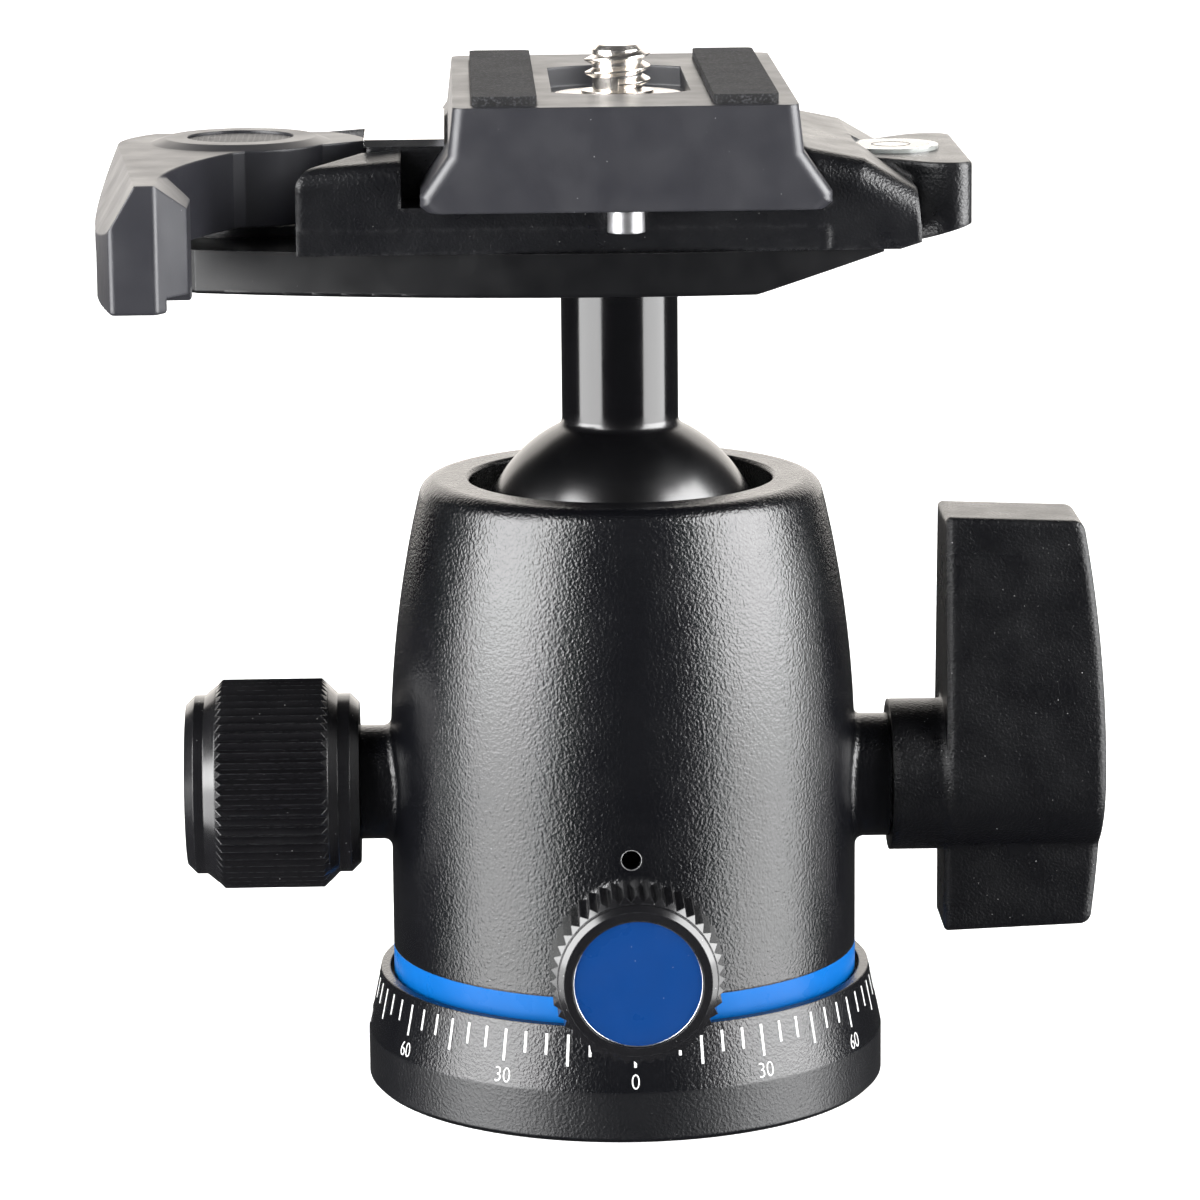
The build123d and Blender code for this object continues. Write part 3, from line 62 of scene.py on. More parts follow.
# ------------------------------------------------------------------ node wiring
class Wiring:
    """Short hand for the nodes of one tree."""

    def __init__(self, tree: bpy.types.NodeTree) -> None:
        """Wire an existing tree."""
        self.tree = tree

    def add(self, kind: str) -> bpy.types.Node:
        """Add a node of a kind."""
        return self.tree.nodes.new(kind)

    def link(self, source: Socket, target: Socket) -> None:
        """Join two sockets."""
        self.tree.links.new(source, target)

    def feed(self, socket: Socket, value: Input) -> None:
        """Link a socket, or set a constant on it.

        Args:
            socket: The input to fill.
            value: A socket, a number, or a colour of three numbers.
        """
        if isinstance(value, Socket):
            self.link(value, socket)
        elif isinstance(value, tuple) and socket.type == "RGBA":
            socket.default_value = (*value, 1.0)
        else:
            socket.default_value = value

    def group(self, name: str, values: dict[str, Input]) -> bpy.types.Node:
        """Place a shared effect.

        Args:
            name: The node group's name.
            values: A value or a socket for each of its inputs.

        Returns:
            The group node.
        """
        node = self.add("ShaderNodeGroup")
        node.node_tree = bpy.data.node_groups[name]
        for key, value in values.items():
            self.feed(node.inputs[key], value)
        return node

    def mix(self, share: Input, first: Input, second: Input) -> Socket:
        """Blend two colours.

        Args:
            share: How much of the second, a socket or a number.
            first: The first colour or socket.
            second: The second colour or socket.

        Returns:
            The blended colour's socket.
        """
        node = self.add("ShaderNodeMix")
        node.data_type = "RGBA"
        self.feed(node.inputs[0], share)
        self.feed(node.inputs[6], first)
        self.feed(node.inputs[7], second)
        return node.outputs[2]

    def maths(self, operation: str, *values: Input) -> Socket:
        """Apply a Math node.

        Args:
            operation: Blender's name of the operation.
            values: Its inputs, as sockets or numbers.

        Returns:
            The result's socket.
        """
        node = self.add("ShaderNodeMath")
        node.operation = operation
        for socket, value in zip(node.inputs, values):
            self.feed(socket, value)
        return node.outputs[0]

    def times(self, first: Socket, second: Input) -> Socket:
        """Multiply two values."""
        return self.maths("MULTIPLY", first, second)

    def plus(self, first: Socket, second: Socket) -> Socket:
        """Add two values."""
        return self.maths("ADD", first, second)

    def ranged(self, source: Socket, span: Pair, start: float = 0.0, end: float = 1.0) -> Socket:
        """Map a value's range to another.

        Args:
            source: The value.
            span: The two values of the source that are mapped.
            start: Result at the first of them.
            end: Result at the second.

        Returns:
            The mapped value's socket.
        """
        node = self.add("ShaderNodeMapRange")
        for index, value in enumerate((source, *span, start, end)):
            self.feed(node.inputs[index], value)
        return node.outputs[0]

    def noise(self, place: Socket, scale: Input, detail: float = 2.0) -> Socket:
        """Add a noise texture.

        Args:
            place: Its coordinates.
            scale: How fine it is.
            detail: Its number of octaves.

        Returns:
            The noise's value.
        """
        node = self.add("ShaderNodeTexNoise")
        node.inputs["Detail"].default_value = detail
        self.feed(node.inputs["Vector"], place)
        self.feed(node.inputs["Scale"], scale)
        return node.outputs[0]

    def cells(self, place: Socket, scale: Input, roundness: float = 0.0) -> Socket:
        """Add a cell texture.

        Args:
            place: Its coordinates.
            scale: How fine it is.
            roundness: How far its cells run into each other.

        Returns:
            The distance to the nearest cell's middle.
        """
        node = self.add("ShaderNodeTexVoronoi")
        if roundness:
            node.feature = "SMOOTH_F1"
            node.inputs["Smoothness"].default_value = roundness
        self.feed(node.inputs["Vector"], place)
        self.feed(node.inputs["Scale"], scale)
        return node.outputs["Distance"]

    def split(self, place: Socket) -> dict[str, Socket]:
        """Part coordinates.

        Args:
            place: The coordinates.

        Returns:
            The sockets X, Y and Z by name.
        """
        node = self.add("ShaderNodeSeparateXYZ")
        self.link(place, node.inputs[0])
        return {axis: node.outputs[axis] for axis in "XYZ"}

    def mapped(self, place: Socket, setting: str, value: Triple) -> Socket:
        """Turn or stretch coordinates.

        Args:
            place: The coordinates.
            setting: Rotation or Scale.
            value: Its three numbers.

        Returns:
            The changed coordinates.
        """
        node = self.add("ShaderNodeMapping")
        node.inputs[setting].default_value = value
        self.link(place, node.inputs["Vector"])
        return node.outputs["Vector"]


class MaterialWiring(Wiring):
    """The tree of a new material with its shader."""

    def __init__(self, name: str) -> None:
        """Start a material.

        Args:
            name: The material's name.
        """
        self.material = bpy.data.materials.new(name)
        self.material.use_nodes = True
        super().__init__(self.material.node_tree)
        self.tree.nodes.clear()
        output = self.add("ShaderNodeOutputMaterial")
        self.shader = self.add("ShaderNodeBsdfPrincipled")
        self.link(self.shader.outputs["BSDF"], output.inputs["Surface"])

    def place(self) -> Socket:
        """Add the piece's own coordinates."""
        return self.add("ShaderNodeTexCoord").outputs["Object"]

    def surface(self, values: dict[str, Input]) -> None:
        """Fill inputs of the shader.

        Args:
            values: A value or a socket by input name.
        """
        for key, value in values.items():
            self.feed(self.shader.inputs[key], value)


@dataclass
class SharedEffects:
    """Node groups that several materials use.

    A size or a spacing is in millimetres, a rate is a layer's fineness beside the effect's own
    size, a share is its part of the height, and a span is the range of a value that counts.
    """

    mottle_detail: float = 4.0
    leather_detail: float = 1.5
    leather_span: Pair = (0.36, 0.66)
    leather_share: float = 0.75
    pebble_rate: float = 0.9
    pebble_roundness: float = 0.6
    pebble_share: float = -0.35
    crease_rate: float = 2.6
    crease_share: float = 0.25
    fine_rate: float = 3.1
    fine_share: float = 0.5
    tool_detail: float = 3.0
    brush_stretch: float = 0.03
    fleck_span: Pair = (0.5, 0.72)
    grid_span: Pair = (0.2, 0.7)
    bevel_samples: int = 4
    edge_span: Pair = (0.99, 0.85)
    wear_size: float = 0.6
    wear_detail: float = 4.0
    wear_span: Pair = (0.42, 0.62)
    wear_least: float = 0.15
    dust_spacing: float = 0.9
    dust_reach: float = 0.09
    dust_patch: float = 6.0
    dust_span: Pair = (0.45, 0.6)
    dust_most: float = 0.8

    def build(self) -> None:
        """Make every group once."""
        self._mottle()
        self._leather()
        self._fine()
        self._turning()
        self._brushing()
        self._flecks()
        self._grid()
        self._edge_wear()
        self._dust()

    @staticmethod
    def _start(
        name: str, given: str, outputs: dict[str, str]
    ) -> tuple[Wiring, Socket, Socket, bpy.types.Node]:
        """Open a group that takes coordinates and one number.

        Args:
            name: Its name.
            given: The number's name.
            outputs: Socket type by output name.

        Returns:
            Its wiring, its coordinates, its number and its output node.
        """
        tree = bpy.data.node_groups.new(name, "ShaderNodeTree")
        sockets = [("Vector", "INPUT", "Vector"), (given, "INPUT", "Float")]
        sockets += [(key, "OUTPUT", kind) for key, kind in outputs.items()]
        for key, side, kind in sockets:
            tree.interface.new_socket(name=key, in_out=side, socket_type=f"NodeSocket{kind}")
        wiring = Wiring(tree)
        entry = wiring.add("NodeGroupInput")
        result = wiring.add("NodeGroupOutput")
        return wiring, entry.outputs["Vector"], entry.outputs[given], result

    def _pattern(self, name: str, output: str) -> tuple[Wiring, Socket, Socket, Socket]:
        """Open a group for a pattern of a given size.

        Args:
            name: Its name.
            output: Name of its output.

        Returns:
            Its wiring, its coordinates, one over its size, and the output to fill.
        """
        wiring, place, size, result = self._start(name, "Size", {output: "Float"})
        return wiring, place, wiring.maths("DIVIDE", 1.0, size), result.inputs[output]

    def _mottle(self) -> None:
        """Soft patches."""
        wiring, place, scale, mask = self._pattern("Mottle", "Mask")
        wiring.link(wiring.noise(place, scale, self.mottle_detail), mask)

    def _leather(self) -> None:
        """Pebbled relief of thick structured paint."""
        wiring, place, scale, height = self._pattern("Leather Grain", "Height")
        wide = wiring.noise(place, scale, self.leather_detail)
        pebble = wiring.cells(place, wiring.times(scale, self.pebble_rate), self.pebble_roundness)
        crease = wiring.noise(place, wiring.times(scale, self.crease_rate), 1.0)
        sharp = wiring.ranged(wide, self.leather_span)
        high = wiring.times(sharp, self.leather_share)
        total = wiring.plus(high, wiring.times(pebble, self.pebble_share))
        wiring.link(wiring.plus(total, wiring.times(crease, self.crease_share)), height)

    def _fine(self) -> None:
        """Fine even grain."""
        wiring, place, scale, height = self._pattern("Fine Grain", "Height")
        coarse = wiring.noise(place, scale)
        fine = wiring.noise(place, wiring.times(scale, self.fine_rate), 1.0)
        wiring.link(wiring.plus(coarse, wiring.times(fine, self.fine_share)), height)

    def _turning(self) -> None:
        """Rings that a lathe leaves about the Z axis of the given coordinates."""
        wiring, place, scale, height = self._pattern("Turning Marks", "Height")
        sides = wiring.split(place)
        squares = [wiring.maths("POWER", sides[axis], 2.0) for axis in ("X", "Y")]
        rings = wiring.add("ShaderNodeCombineXYZ")
        wiring.link(wiring.maths("SQRT", wiring.plus(*squares)), rings.inputs["X"])
        wiring.link(sides["Z"], rings.inputs["Y"])
        wiring.link(wiring.noise(rings.outputs["Vector"], scale, self.tool_detail), height)

    def _brushing(self) -> None:
        """Straight marks along Y."""
        wiring, place, scale, height = self._pattern("Brush Marks", "Height")
        along = wiring.mapped(place, "Scale", (1.0, self.brush_stretch, 1.0))
        wiring.link(wiring.noise(along, scale, self.tool_detail), height)

    def _flecks(self) -> None:
        """Small pale flecks of granulated rubber."""
        wiring, place, scale, mask = self._pattern("Fleck", "Mask")
        wiring.link(wiring.ranged(wiring.noise(place, scale), self.fleck_span), mask)

    def _grid(self) -> None:
        """Rows of small raised squares, over X and Y."""
        wiring, place, scale, height = self._pattern("Grid Relief", "Height")
        sides = wiring.split(place)
        turn = wiring.times(scale, math.pi)
        waves = []
        for axis in ("X", "Y"):
            wave = wiring.maths("SINE", wiring.times(sides[axis], turn))
            waves.append(wiring.ranged(wiring.maths("ABSOLUTE", wave), self.grid_span))
        wiring.link(wiring.times(*waves), height)

    def _edge_wear(self) -> None:
        """Softened edges, and a broken mask along them."""
        outputs = {"Mask": "Float", "Normal": "Vector"}
        wiring, place, radius, result = self._start("Edge Wear", "Radius", outputs)
        bevel = wiring.add("ShaderNodeBevel")
        bevel.samples = self.bevel_samples
        wiring.link(radius, bevel.inputs["Radius"])
        surface = wiring.add("ShaderNodeNewGeometry")
        facing = wiring.add("ShaderNodeVectorMath")
        facing.operation = "DOT_PRODUCT"
        wiring.link(bevel.outputs["Normal"], facing.inputs[0])
        wiring.link(surface.outputs["Normal"], facing.inputs[1])
        edge = wiring.ranged(facing.outputs["Value"], self.edge_span)
        broken = wiring.noise(place, 1 / (self.wear_size * MM), self.wear_detail)
        patchy = wiring.ranged(broken, self.wear_span, self.wear_least)
        wiring.link(wiring.times(edge, patchy), result.inputs["Mask"])
        wiring.link(bevel.outputs["Normal"], result.inputs["Normal"])

    def _dust(self) -> None:
        """Sparse specks of dust."""
        wiring, place, amount, result = self._start("Dust", "Amount", {"Mask": "Float"})
        specks = wiring.cells(place, 1 / (self.dust_spacing * MM))
        near = wiring.maths("LESS_THAN", specks, wiring.times(amount, self.dust_reach))
        patches = wiring.noise(place, 1 / (self.dust_patch * MM), 1.0)
        spread = wiring.ranged(patches, self.dust_span, 0.0, self.dust_most)
        wiring.link(wiring.times(near, spread), result.inputs["Mask"])


# ------------------------------------------------------------------ kinds of finish
class Grain(Enum):
    """Kinds of fine surface relief."""

    NONE = "none"
    LEATHER = "leather"
    FINE = "fine"
    TURNED_X = "turned about x"
    TURNED_Y = "turned about y"
    TURNED_Z = "turned about z"
    BRUSHED = "brushed"
    SPECKLED = "speckled"
    GRID = "grid"


RELIEFS = {
    Grain.LEATHER: "Leather Grain",
    Grain.FINE: "Fine Grain",
    Grain.TURNED_X: "Turning Marks",
    Grain.TURNED_Y: "Turning Marks",
    Grain.TURNED_Z: "Turning Marks",
    Grain.BRUSHED: "Brush Marks",
    Grain.SPECKLED: "Fine Grain",
    Grain.GRID: "Grid Relief",
}
RELIEF_TURNS = {
    Grain.TURNED_X: (0.0, QUARTER_TURN, 0.0),
    Grain.TURNED_Y: (QUARTER_TURN, 0.0, 0.0),
}
DUST_COLOUR = (0.55, 0.55, 0.55)
# How much paler a fleck is than its rubber.
FLECK_GAIN = 6.0
# Size of the patches in the roughness beside those in the colour, and their range of values.
MATT_PATCH_GAIN = 1.7
MATT_PATCH_SPAN = (0.25, 0.75)


@dataclass(frozen=True)
class Finish:
    """One finish of the ball head, with linear colours and lengths in millimetres.

    The band gives a height, what the roughness gains below it, and half the width of the change.
    """

    name: str
    colour: Colour
    roughness: float
    metallic: float = 0.0
    specular: float = 0.5
    mottle: float = 0.12
    mottle_size: float = 2.5
    roughness_spread: float = 0.06
    grain: Grain = Grain.FINE
    grain_size: float = 0.25
    grain_depth: float = 0.01
    edge_radius: float = 0.12
    edge_colour: Colour = (0.16, 0.16, 0.17)
    edge_wear: float = 0.25
    dust: float = 0.0
    coat: float = 0.0
    coat_roughness: float = 0.1
    band: Triple | None = None

    def material(self) -> bpy.types.Material:
        """Build the node material of this finish.

        Returns:
            The new material.
        """
        wiring = MaterialWiring(self.name)
        place = wiring.place()
        wiring.surface(
            {
                "Base Color": self._colour(wiring, place),
                "Roughness": self._roughness(wiring, place),
                "Metallic": self.metallic,
                "Specular IOR Level": self.specular,
                "Coat Weight": self.coat,
                "Coat Roughness": self.coat_roughness,
                "Normal": self._relief(wiring, place),
            }
        )
        return wiring.material

    def _shade(self, factor: float) -> Colour:
        """Lighten or darken the colour."""
        return tuple(min(1.0, part * factor) for part in self.colour)

    def _colour(self, wiring: Wiring, place: Socket) -> Socket:
        """Mottle the base colour, wear its edges and dust it.

        Args:
            wiring: The material's nodes.
            place: The piece's coordinates.

        Returns:
            The colour.
        """
        mottle = wiring.group("Mottle", {"Vector": place, "Size": self.mottle_size * MM})
        deep, pale = self._shade(1 - self.mottle), self._shade(1 + self.mottle)
        tone = wiring.mix(mottle.outputs["Mask"], deep, pale)
        if self.grain is Grain.SPECKLED:
            specks = wiring.group("Fleck", {"Vector": place, "Size": self.grain_size * MM})
            tone = wiring.mix(specks.outputs["Mask"], tone, self._shade(FLECK_GAIN))
        wear = wiring.group("Edge Wear", {"Vector": place, "Radius": self.edge_radius * MM})
        share = wiring.times(wear.outputs["Mask"], self.edge_wear)
        tone = wiring.mix(share, tone, self.edge_colour)
        if self.dust:
            dust = wiring.group("Dust", {"Vector": place, "Amount": self.dust})
            tone = wiring.mix(dust.outputs["Mask"], tone, DUST_COLOUR)
        return tone

    def _roughness(self, wiring: Wiring, place: Socket) -> Socket:
        """Let the roughness wander a little, and change across the band where there is one.

        Args:
            wiring: The material's nodes.
            place: The piece's coordinates.

        Returns:
            The roughness.
        """
        size = MATT_PATCH_GAIN * self.mottle_size * MM
        mottle = wiring.group("Mottle", {"Vector": place, "Size": size})
        low = self.roughness - self.roughness_spread
        high = self.roughness + self.roughness_spread
        value = wiring.ranged(mottle.outputs["Mask"], MATT_PATCH_SPAN, low, high)
        if self.band:
            height, gain, blend = self.band
            span = ((height - blend) * MM, (height + blend) * MM)
            step = wiring.ranged(wiring.split(place)["Z"], span, gain, 0.0)
            value = wiring.plus(value, step)
        return value

    def _relief(self, wiring: Wiring, place: Socket) -> Socket:
        """Lay the grain's relief over softly rounded edges.

        Args:
            wiring: The material's nodes.
            place: The piece's coordinates.

        Returns:
            The normal.
        """
        edges = wiring.group("Edge Wear", {"Vector": place, "Radius": self.edge_radius * MM})
        if self.grain is Grain.NONE:
            return edges.outputs["Normal"]
        if self.grain in RELIEF_TURNS:
            place = wiring.mapped(place, "Rotation", RELIEF_TURNS[self.grain])
        values = {"Vector": place, "Size": self.grain_size * MM}
        relief = wiring.group(RELIEFS[self.grain], values)
        bump = wiring.add("ShaderNodeBump")
        bump.inputs["Strength"].default_value = 1.0
        bump.inputs["Distance"].default_value = self.grain_depth * MM
        wiring.link(relief.outputs["Height"], bump.inputs["Height"])
        wiring.link(edges.outputs["Normal"], bump.inputs["Normal"])
        return bump.outputs["Normal"]


@dataclass(frozen=True)
class Glass:
    """A clear finish with faint smears."""

    name: str
    colour: Colour
    roughness: float
    ior: float
    smear_size: float = 1.2
    smear_shade: float = 0.94
    smear_roughness: float = 0.08
    smear_span: Pair = (0.3, 0.8)

    def material(self) -> bpy.types.Material:
        """Build the glass material.

        Returns:
            The new material.
        """
        wiring = MaterialWiring(self.name)
        size = self.smear_size * MM
        smear = wiring.group("Mottle", {"Vector": wiring.place(), "Size": size}).outputs["Mask"]
        shaded = tuple(self.smear_shade * part for part in self.colour)
        matt = wiring.ranged(smear, self.smear_span, self.roughness, self.smear_roughness)
        wiring.surface(
            {
                "Base Color": wiring.mix(smear, self.colour, shaded),
                "Roughness": matt,
                "IOR": self.ior,
                "Metallic": 0.0,
                "Transmission Weight": 1.0,
            }
        )
        return wiring.material


# ------------------------------------------------------------------ the ball head's finishes
LEATHER_PAINT = Finish(
    "leather_grain_paint",
    (0.0024, 0.0026, 0.0037),
    0.24,
    specular=0.46,
    roughness_spread=0.03,
    grain=Grain.LEATHER,
    grain_size=0.29,
    grain_depth=0.028,
    edge_radius=0.3,
    edge_wear=0.12,
    dust=0.25,
)
BASE_PAINT = replace(
    LEATHER_PAINT,
    name="base_paint",
    specular=0.4,
    grain_size=0.28,
    grain_depth=0.022,
    edge_radius=0.25,
    dust=0.3,
    band=(5.0, 0.12, 0.15),
)
KNOB_PAINT = Finish(
    "wing_knob_paint",
    (0.0026, 0.0027, 0.0036),
    0.3,
    specular=0.36,
    grain=Grain.LEATHER,
    grain_size=0.26,
    grain_depth=0.032,
    edge_radius=1.1,
    edge_wear=0.03,
    dust=0.6,
)
CLAMP_PAINT = Finish(
    "clamp_paint",
    (0.004, 0.0042, 0.0055),
    0.31,
    specular=0.42,
    grain=Grain.LEATHER,
    grain_size=0.26,
    grain_depth=0.026,
    edge_radius=0.7,
    edge_wear=0.15,
    dust=0.4,
)
FRICTION_KNOB_GLOSS = Finish(
    "friction_knob_anodised",
    (0.0065, 0.0065, 0.0075),
    0.2,
    grain=Grain.TURNED_X,
    grain_size=0.12,
    grain_depth=0.0012,
    edge_wear=0.2,
    dust=0.5,
)
PAN_KNOB_GLOSS = replace(
    FRICTION_KNOB_GLOSS,
    name="pan_knob_anodised",
    grain=Grain.TURNED_Y,
    edge_wear=0.25,
)
BALL_BLACK = Finish(
    "ball_and_stem_black",
    (0.0024, 0.0024, 0.003),
    0.13,
    specular=0.62,
    grain=Grain.TURNED_Z,
    grain_size=0.35,
    grain_depth=0.0008,
    edge_radius=0.1,
    edge_wear=0.05,
    roughness_spread=0.02,
    dust=0.15,
    band=(66.6, 0.12, 0.6),
)
DISH_BLACK = Finish(
    "dish_satin_black",
    (0.0024, 0.0025, 0.0032),
    0.32,
    specular=0.4,
    grain_size=0.2,
    grain_depth=0.005,
    edge_radius=0.15,
    edge_wear=0.3,
    dust=0.2,
)
PLATE_CHARCOAL = Finish(
    "plate_charcoal",
    (0.0182, 0.0184, 0.0232),
    0.38,
    grain_size=0.28,
    grain_depth=0.006,
    edge_radius=0.3,
    edge_colour=(0.012, 0.012, 0.013),
    edge_wear=0.4,
    dust=0.5,
)
LEVER_PLASTIC = Finish(
    "lever_plastic",
    (0.0185, 0.0187, 0.0235),
    0.36,
    grain_size=0.3,
    grain_depth=0.005,
    edge_radius=0.3,
    edge_wear=0.1,
    dust=0.3,
)
CAP_TEXTURE = Finish(
    "lever_cap_texture",
    (0.03, 0.03, 0.033),
    0.45,
    grain=Grain.GRID,
    grain_size=0.55,
    grain_depth=0.08,
    edge_wear=0.1,
)
RING_BLUE = Finish(
    "ring_blue_anodised",
    (0.001, 0.125, 0.45),
    0.3,
    specular=0.08,
    grain=Grain.TURNED_Z,
    grain_size=0.12,
    grain_depth=0.0015,
    edge_colour=(0.2, 0.4, 0.8),
    edge_wear=0.1,
    mottle=0.05,
)
DISC_BLUE = Finish(
    "disc_blue",
    (0.0002, 0.034, 0.16),
    0.3,
    specular=0.15,
    grain_size=0.3,
    grain_depth=0.003,
    edge_colour=(0.5, 0.6, 0.7),
    edge_wear=0.5,
    mottle=0.06,
    dust=0.5,
)
PAD_RUBBER = Finish(
    "pad_rubber",
    (0.0095, 0.0095, 0.0105),
    0.78,
    specular=0.2,
    grain=Grain.SPECKLED,
    grain_size=0.24,
    grain_depth=0.05,
    edge_radius=0.25,
    edge_wear=0.0,
    mottle=0.2,
)
NICKEL = Finish(
    "bright_nickel",
    (0.86, 0.82, 0.77),
    0.23,
    metallic=1.0,
    grain=Grain.TURNED_Z,
    grain_size=0.2,
    grain_depth=0.002,
    edge_radius=0.06,
    edge_colour=(0.85, 0.83, 0.8),
    mottle=0.04,
)
STEEL = Finish(
    "turned_steel",
    (0.5, 0.5, 0.52),
    0.26,
    metallic=1.0,
    grain=Grain.TURNED_Z,
    grain_size=0.12,
    grain_depth=0.003,
    edge_radius=0.06,
    edge_colour=(0.7, 0.7, 0.72),
    mottle=0.06,
)
SPRING_STEEL = Finish(
    "spring_steel",
    (0.36, 0.36, 0.38),
    0.3,
    metallic=1.0,
    grain=Grain.BRUSHED,
    grain_size=0.1,
    grain_depth=0.002,
    edge_radius=0.05,
    edge_colour=(0.6, 0.6, 0.62),
)
COVER_STEEL = Finish(
    "jaw_cover_bright",
    (0.82, 0.82, 0.84),
    0.14,
    metallic=1.0,
    grain=Grain.BRUSHED,
    grain_size=0.1,
    grain_depth=0.001,
    edge_radius=0.08,
    edge_colour=(0.9, 0.9, 0.92),
    mottle=0.03,
)
BRASS = replace(
    STEEL,
    name="brass",
    colour=(0.6, 0.4, 0.14),
    roughness=0.28,
    edge_colour=(0.75, 0.55, 0.25),
    mottle=0.1,
)
SLIDE_POLYMER = Finish(
    "slide_polymer",
    (0.62, 0.62, 0.58),
    0.5,
    grain_size=0.3,
    grain_depth=0.006,
    edge_colour=(0.7, 0.7, 0.68),
    mottle=0.05,
)
SCALE_WHITE = Finish(
    "scale_white",
    (0.86, 0.86, 0.86),
    0.5,
    grain_size=0.15,
    grain_depth=0.004,
    edge_radius=0.02,
    edge_wear=0.0,
    mottle=0.06,
    mottle_size=0.6,
)
CHIPPED_EDGE = Finish(
    "chipped_bare_edge",
    (0.26, 0.26, 0.265),
    0.3,
    mottle=0.97,
    mottle_size=0.45,
    grain_size=0.2,
    grain_depth=0.02,
    edge_wear=0.0,
)
STOP_STEEL = Finish(
    "stop_screw_steel",
    (0.3, 0.3, 0.31),
    0.42,
    metallic=1.0,
    grain=Grain.TURNED_Z,
    grain_size=0.25,
    grain_depth=0.02,
    edge_radius=0.3,
    edge_colour=(0.45, 0.45, 0.46),
    mottle=0.2,
    mottle_size=0.6,
)
LEVEL_CASE = Finish(
    "level_case",
    (0.5, 0.52, 0.5),
    0.22,
    grain_size=0.5,
    grain_depth=0.002,
    edge_colour=(0.7, 0.7, 0.7),
    edge_wear=0.1,
    mottle=0.04,
    coat=0.4,
)
LEVEL_LIQUID = Finish(
    "level_liquid",
    (0.6, 0.66, 0.52),
    0.08,
    grain=Grain.NONE,
    edge_radius=0.05,
    edge_wear=0.0,
    mottle=0.03,
)
LINE_BLACK = Finish(
    "line_black",
    (0.02, 0.02, 0.02),
    0.4,
    grain_size=0.2,
    grain_depth=0.002,
    edge_radius=0.02,
    edge_wear=0.0,
)
LEVEL_GLASS = Glass("level_glass", (0.97, 0.98, 0.97), 0.02, 1.49)

NODE_FINISHES: dict[Finish | Glass, tuple[str, ...]] = {
    LEATHER_PAINT: ("housing",),
    BASE_PAINT: ("pan_base",),
    KNOB_PAINT: ("main_knob",),
    CLAMP_PAINT: ("clamp_body", "movable_jaw"),
    FRICTION_KNOB_GLOSS: ("friction_knob",),
    PAN_KNOB_GLOSS: ("pan_knob",),
    BALL_BLACK: ("ball_stem",),
    DISH_BLACK: ("platform_dish", "housing_grub_screw"),
    PLATE_CHARCOAL: ("camera_plate",),
    LEVER_PLASTIC: ("clamp_lever",),
    CAP_TEXTURE: ("lever_cap",),
    RING_BLUE: ("trim_ring",),
    DISC_BLUE: ("pan_knob_disc",),
    PAD_RUBBER: ("left_pad", "right_pad"),
    NICKEL: ("screw_flange", "screw_clip"),
    STEEL: (
        "pan_pivot_washer",
        "pan_pivot_screw",
        "lock_wedge",
        "platform_screw",
        "clamp_screws",
        "jaw_guide_pins",
        "lever_pivot_bolt",
        "lever_washer",
        "main_spindle",
        "friction_spindle",
        "pan_spindle",
    ),
    STOP_STEEL: ("stop_screws",),
    SPRING_STEEL: ("preload_washer", "jaw_springs"),
    COVER_STEEL: ("jaw_cover", "jaw_cover_screws"),
    BRASS: ("main_bush", "friction_bush", "pan_bush", "main_plug", "friction_plug"),
    SLIDE_POLYMER: ("pan_bearing_washer", "upper_ball_seat", "ball_cup", "pan_brake_shoe"),
    LEVEL_CASE: ("level_case",),
    LEVEL_LIQUID: ("level_liquid",),
    LEVEL_GLASS: ("level_window",),
}


# ------------------------------------------------------------------ modelling helpers
def mode(name: str) -> None:
    """Switch the active object's mode."""
    bpy.ops.object.mode_set(mode=name)


def deselect() -> None:
    """Leave edit mode and clear the selection."""
    if bpy.context.mode != "OBJECT":
        mode("OBJECT")
    bpy.ops.object.select_all(action="DESELECT")


def choose(piece: Piece) -> None:
    """Select one object alone and make it active.

    Args:
        piece: The object.
    """
    deselect()
    piece.select_set(True)
    bpy.context.view_layer.objects.active = piece


def named(name: str) -> Piece:
    """Name the object that was just added, and its mesh.

    Args:
        name: The new name.

    Returns:
        The object.
    """
    piece = bpy.context.active_object
    piece.name = name
    piece.data.name = name
    return piece


def fix_place() -> None:
    """Put the selected objects' place into their meshes."""
    bpy.ops.object.transform_apply(location=True, rotation=True, scale=True)


def settle(piece: Piece) -> Piece:
    """Put an object's place into its mesh, merge doubles and turn its faces outwards.

    Args:
        piece: The finished object.

    Returns:
        The same object, at the origin.
    """
    choose(piece)
    fix_place()
    mode("EDIT")
    bpy.ops.mesh.select_all(action="SELECT")
    bpy.ops.mesh.remove_doubles(threshold=TINY)
    bpy.ops.mesh.normals_make_consistent(inside=False)
    mode("OBJECT")
    return piece


def smooth(piece: Piece, degrees: float = SHALLOW_ANGLE) -> Piece:
    """Shade an object smooth across angles.

    Args:
        piece: The object.
        degrees: The widest angle that is shaded smooth.

    Returns:
        The same object.
    """
    choose(piece)
    bpy.ops.object.shade_smooth_by_angle(angle=math.radians(degrees))
    return piece


def modify(piece: Piece, kind: str, **values: object) -> None:
    """Add a modifier and apply it.

    Args:
        piece: The object.
        kind: Blender's name of the modifier.
        values: Its settings.
    """
    choose(piece)
    modifier = piece.modifiers.new(kind.lower(), kind)
    for key, value in values.items():
        setattr(modifier, key, value)
    bpy.ops.object.modifier_apply(modifier=modifier.name)


def cut(piece: Piece, cutter: Piece) -> None:
    """Cut one object out of another, and delete the cutter."""
    modify(piece, "BOOLEAN", operation="DIFFERENCE", object=cutter, solver="EXACT")
    bpy.data.objects.remove(cutter)


def paint(piece: Piece, finish: Finish | Glass) -> None:
    """Give an object one finish alone."""
    piece.data.materials.clear()
    piece.data.materials.append(MATERIALS.of(finish))


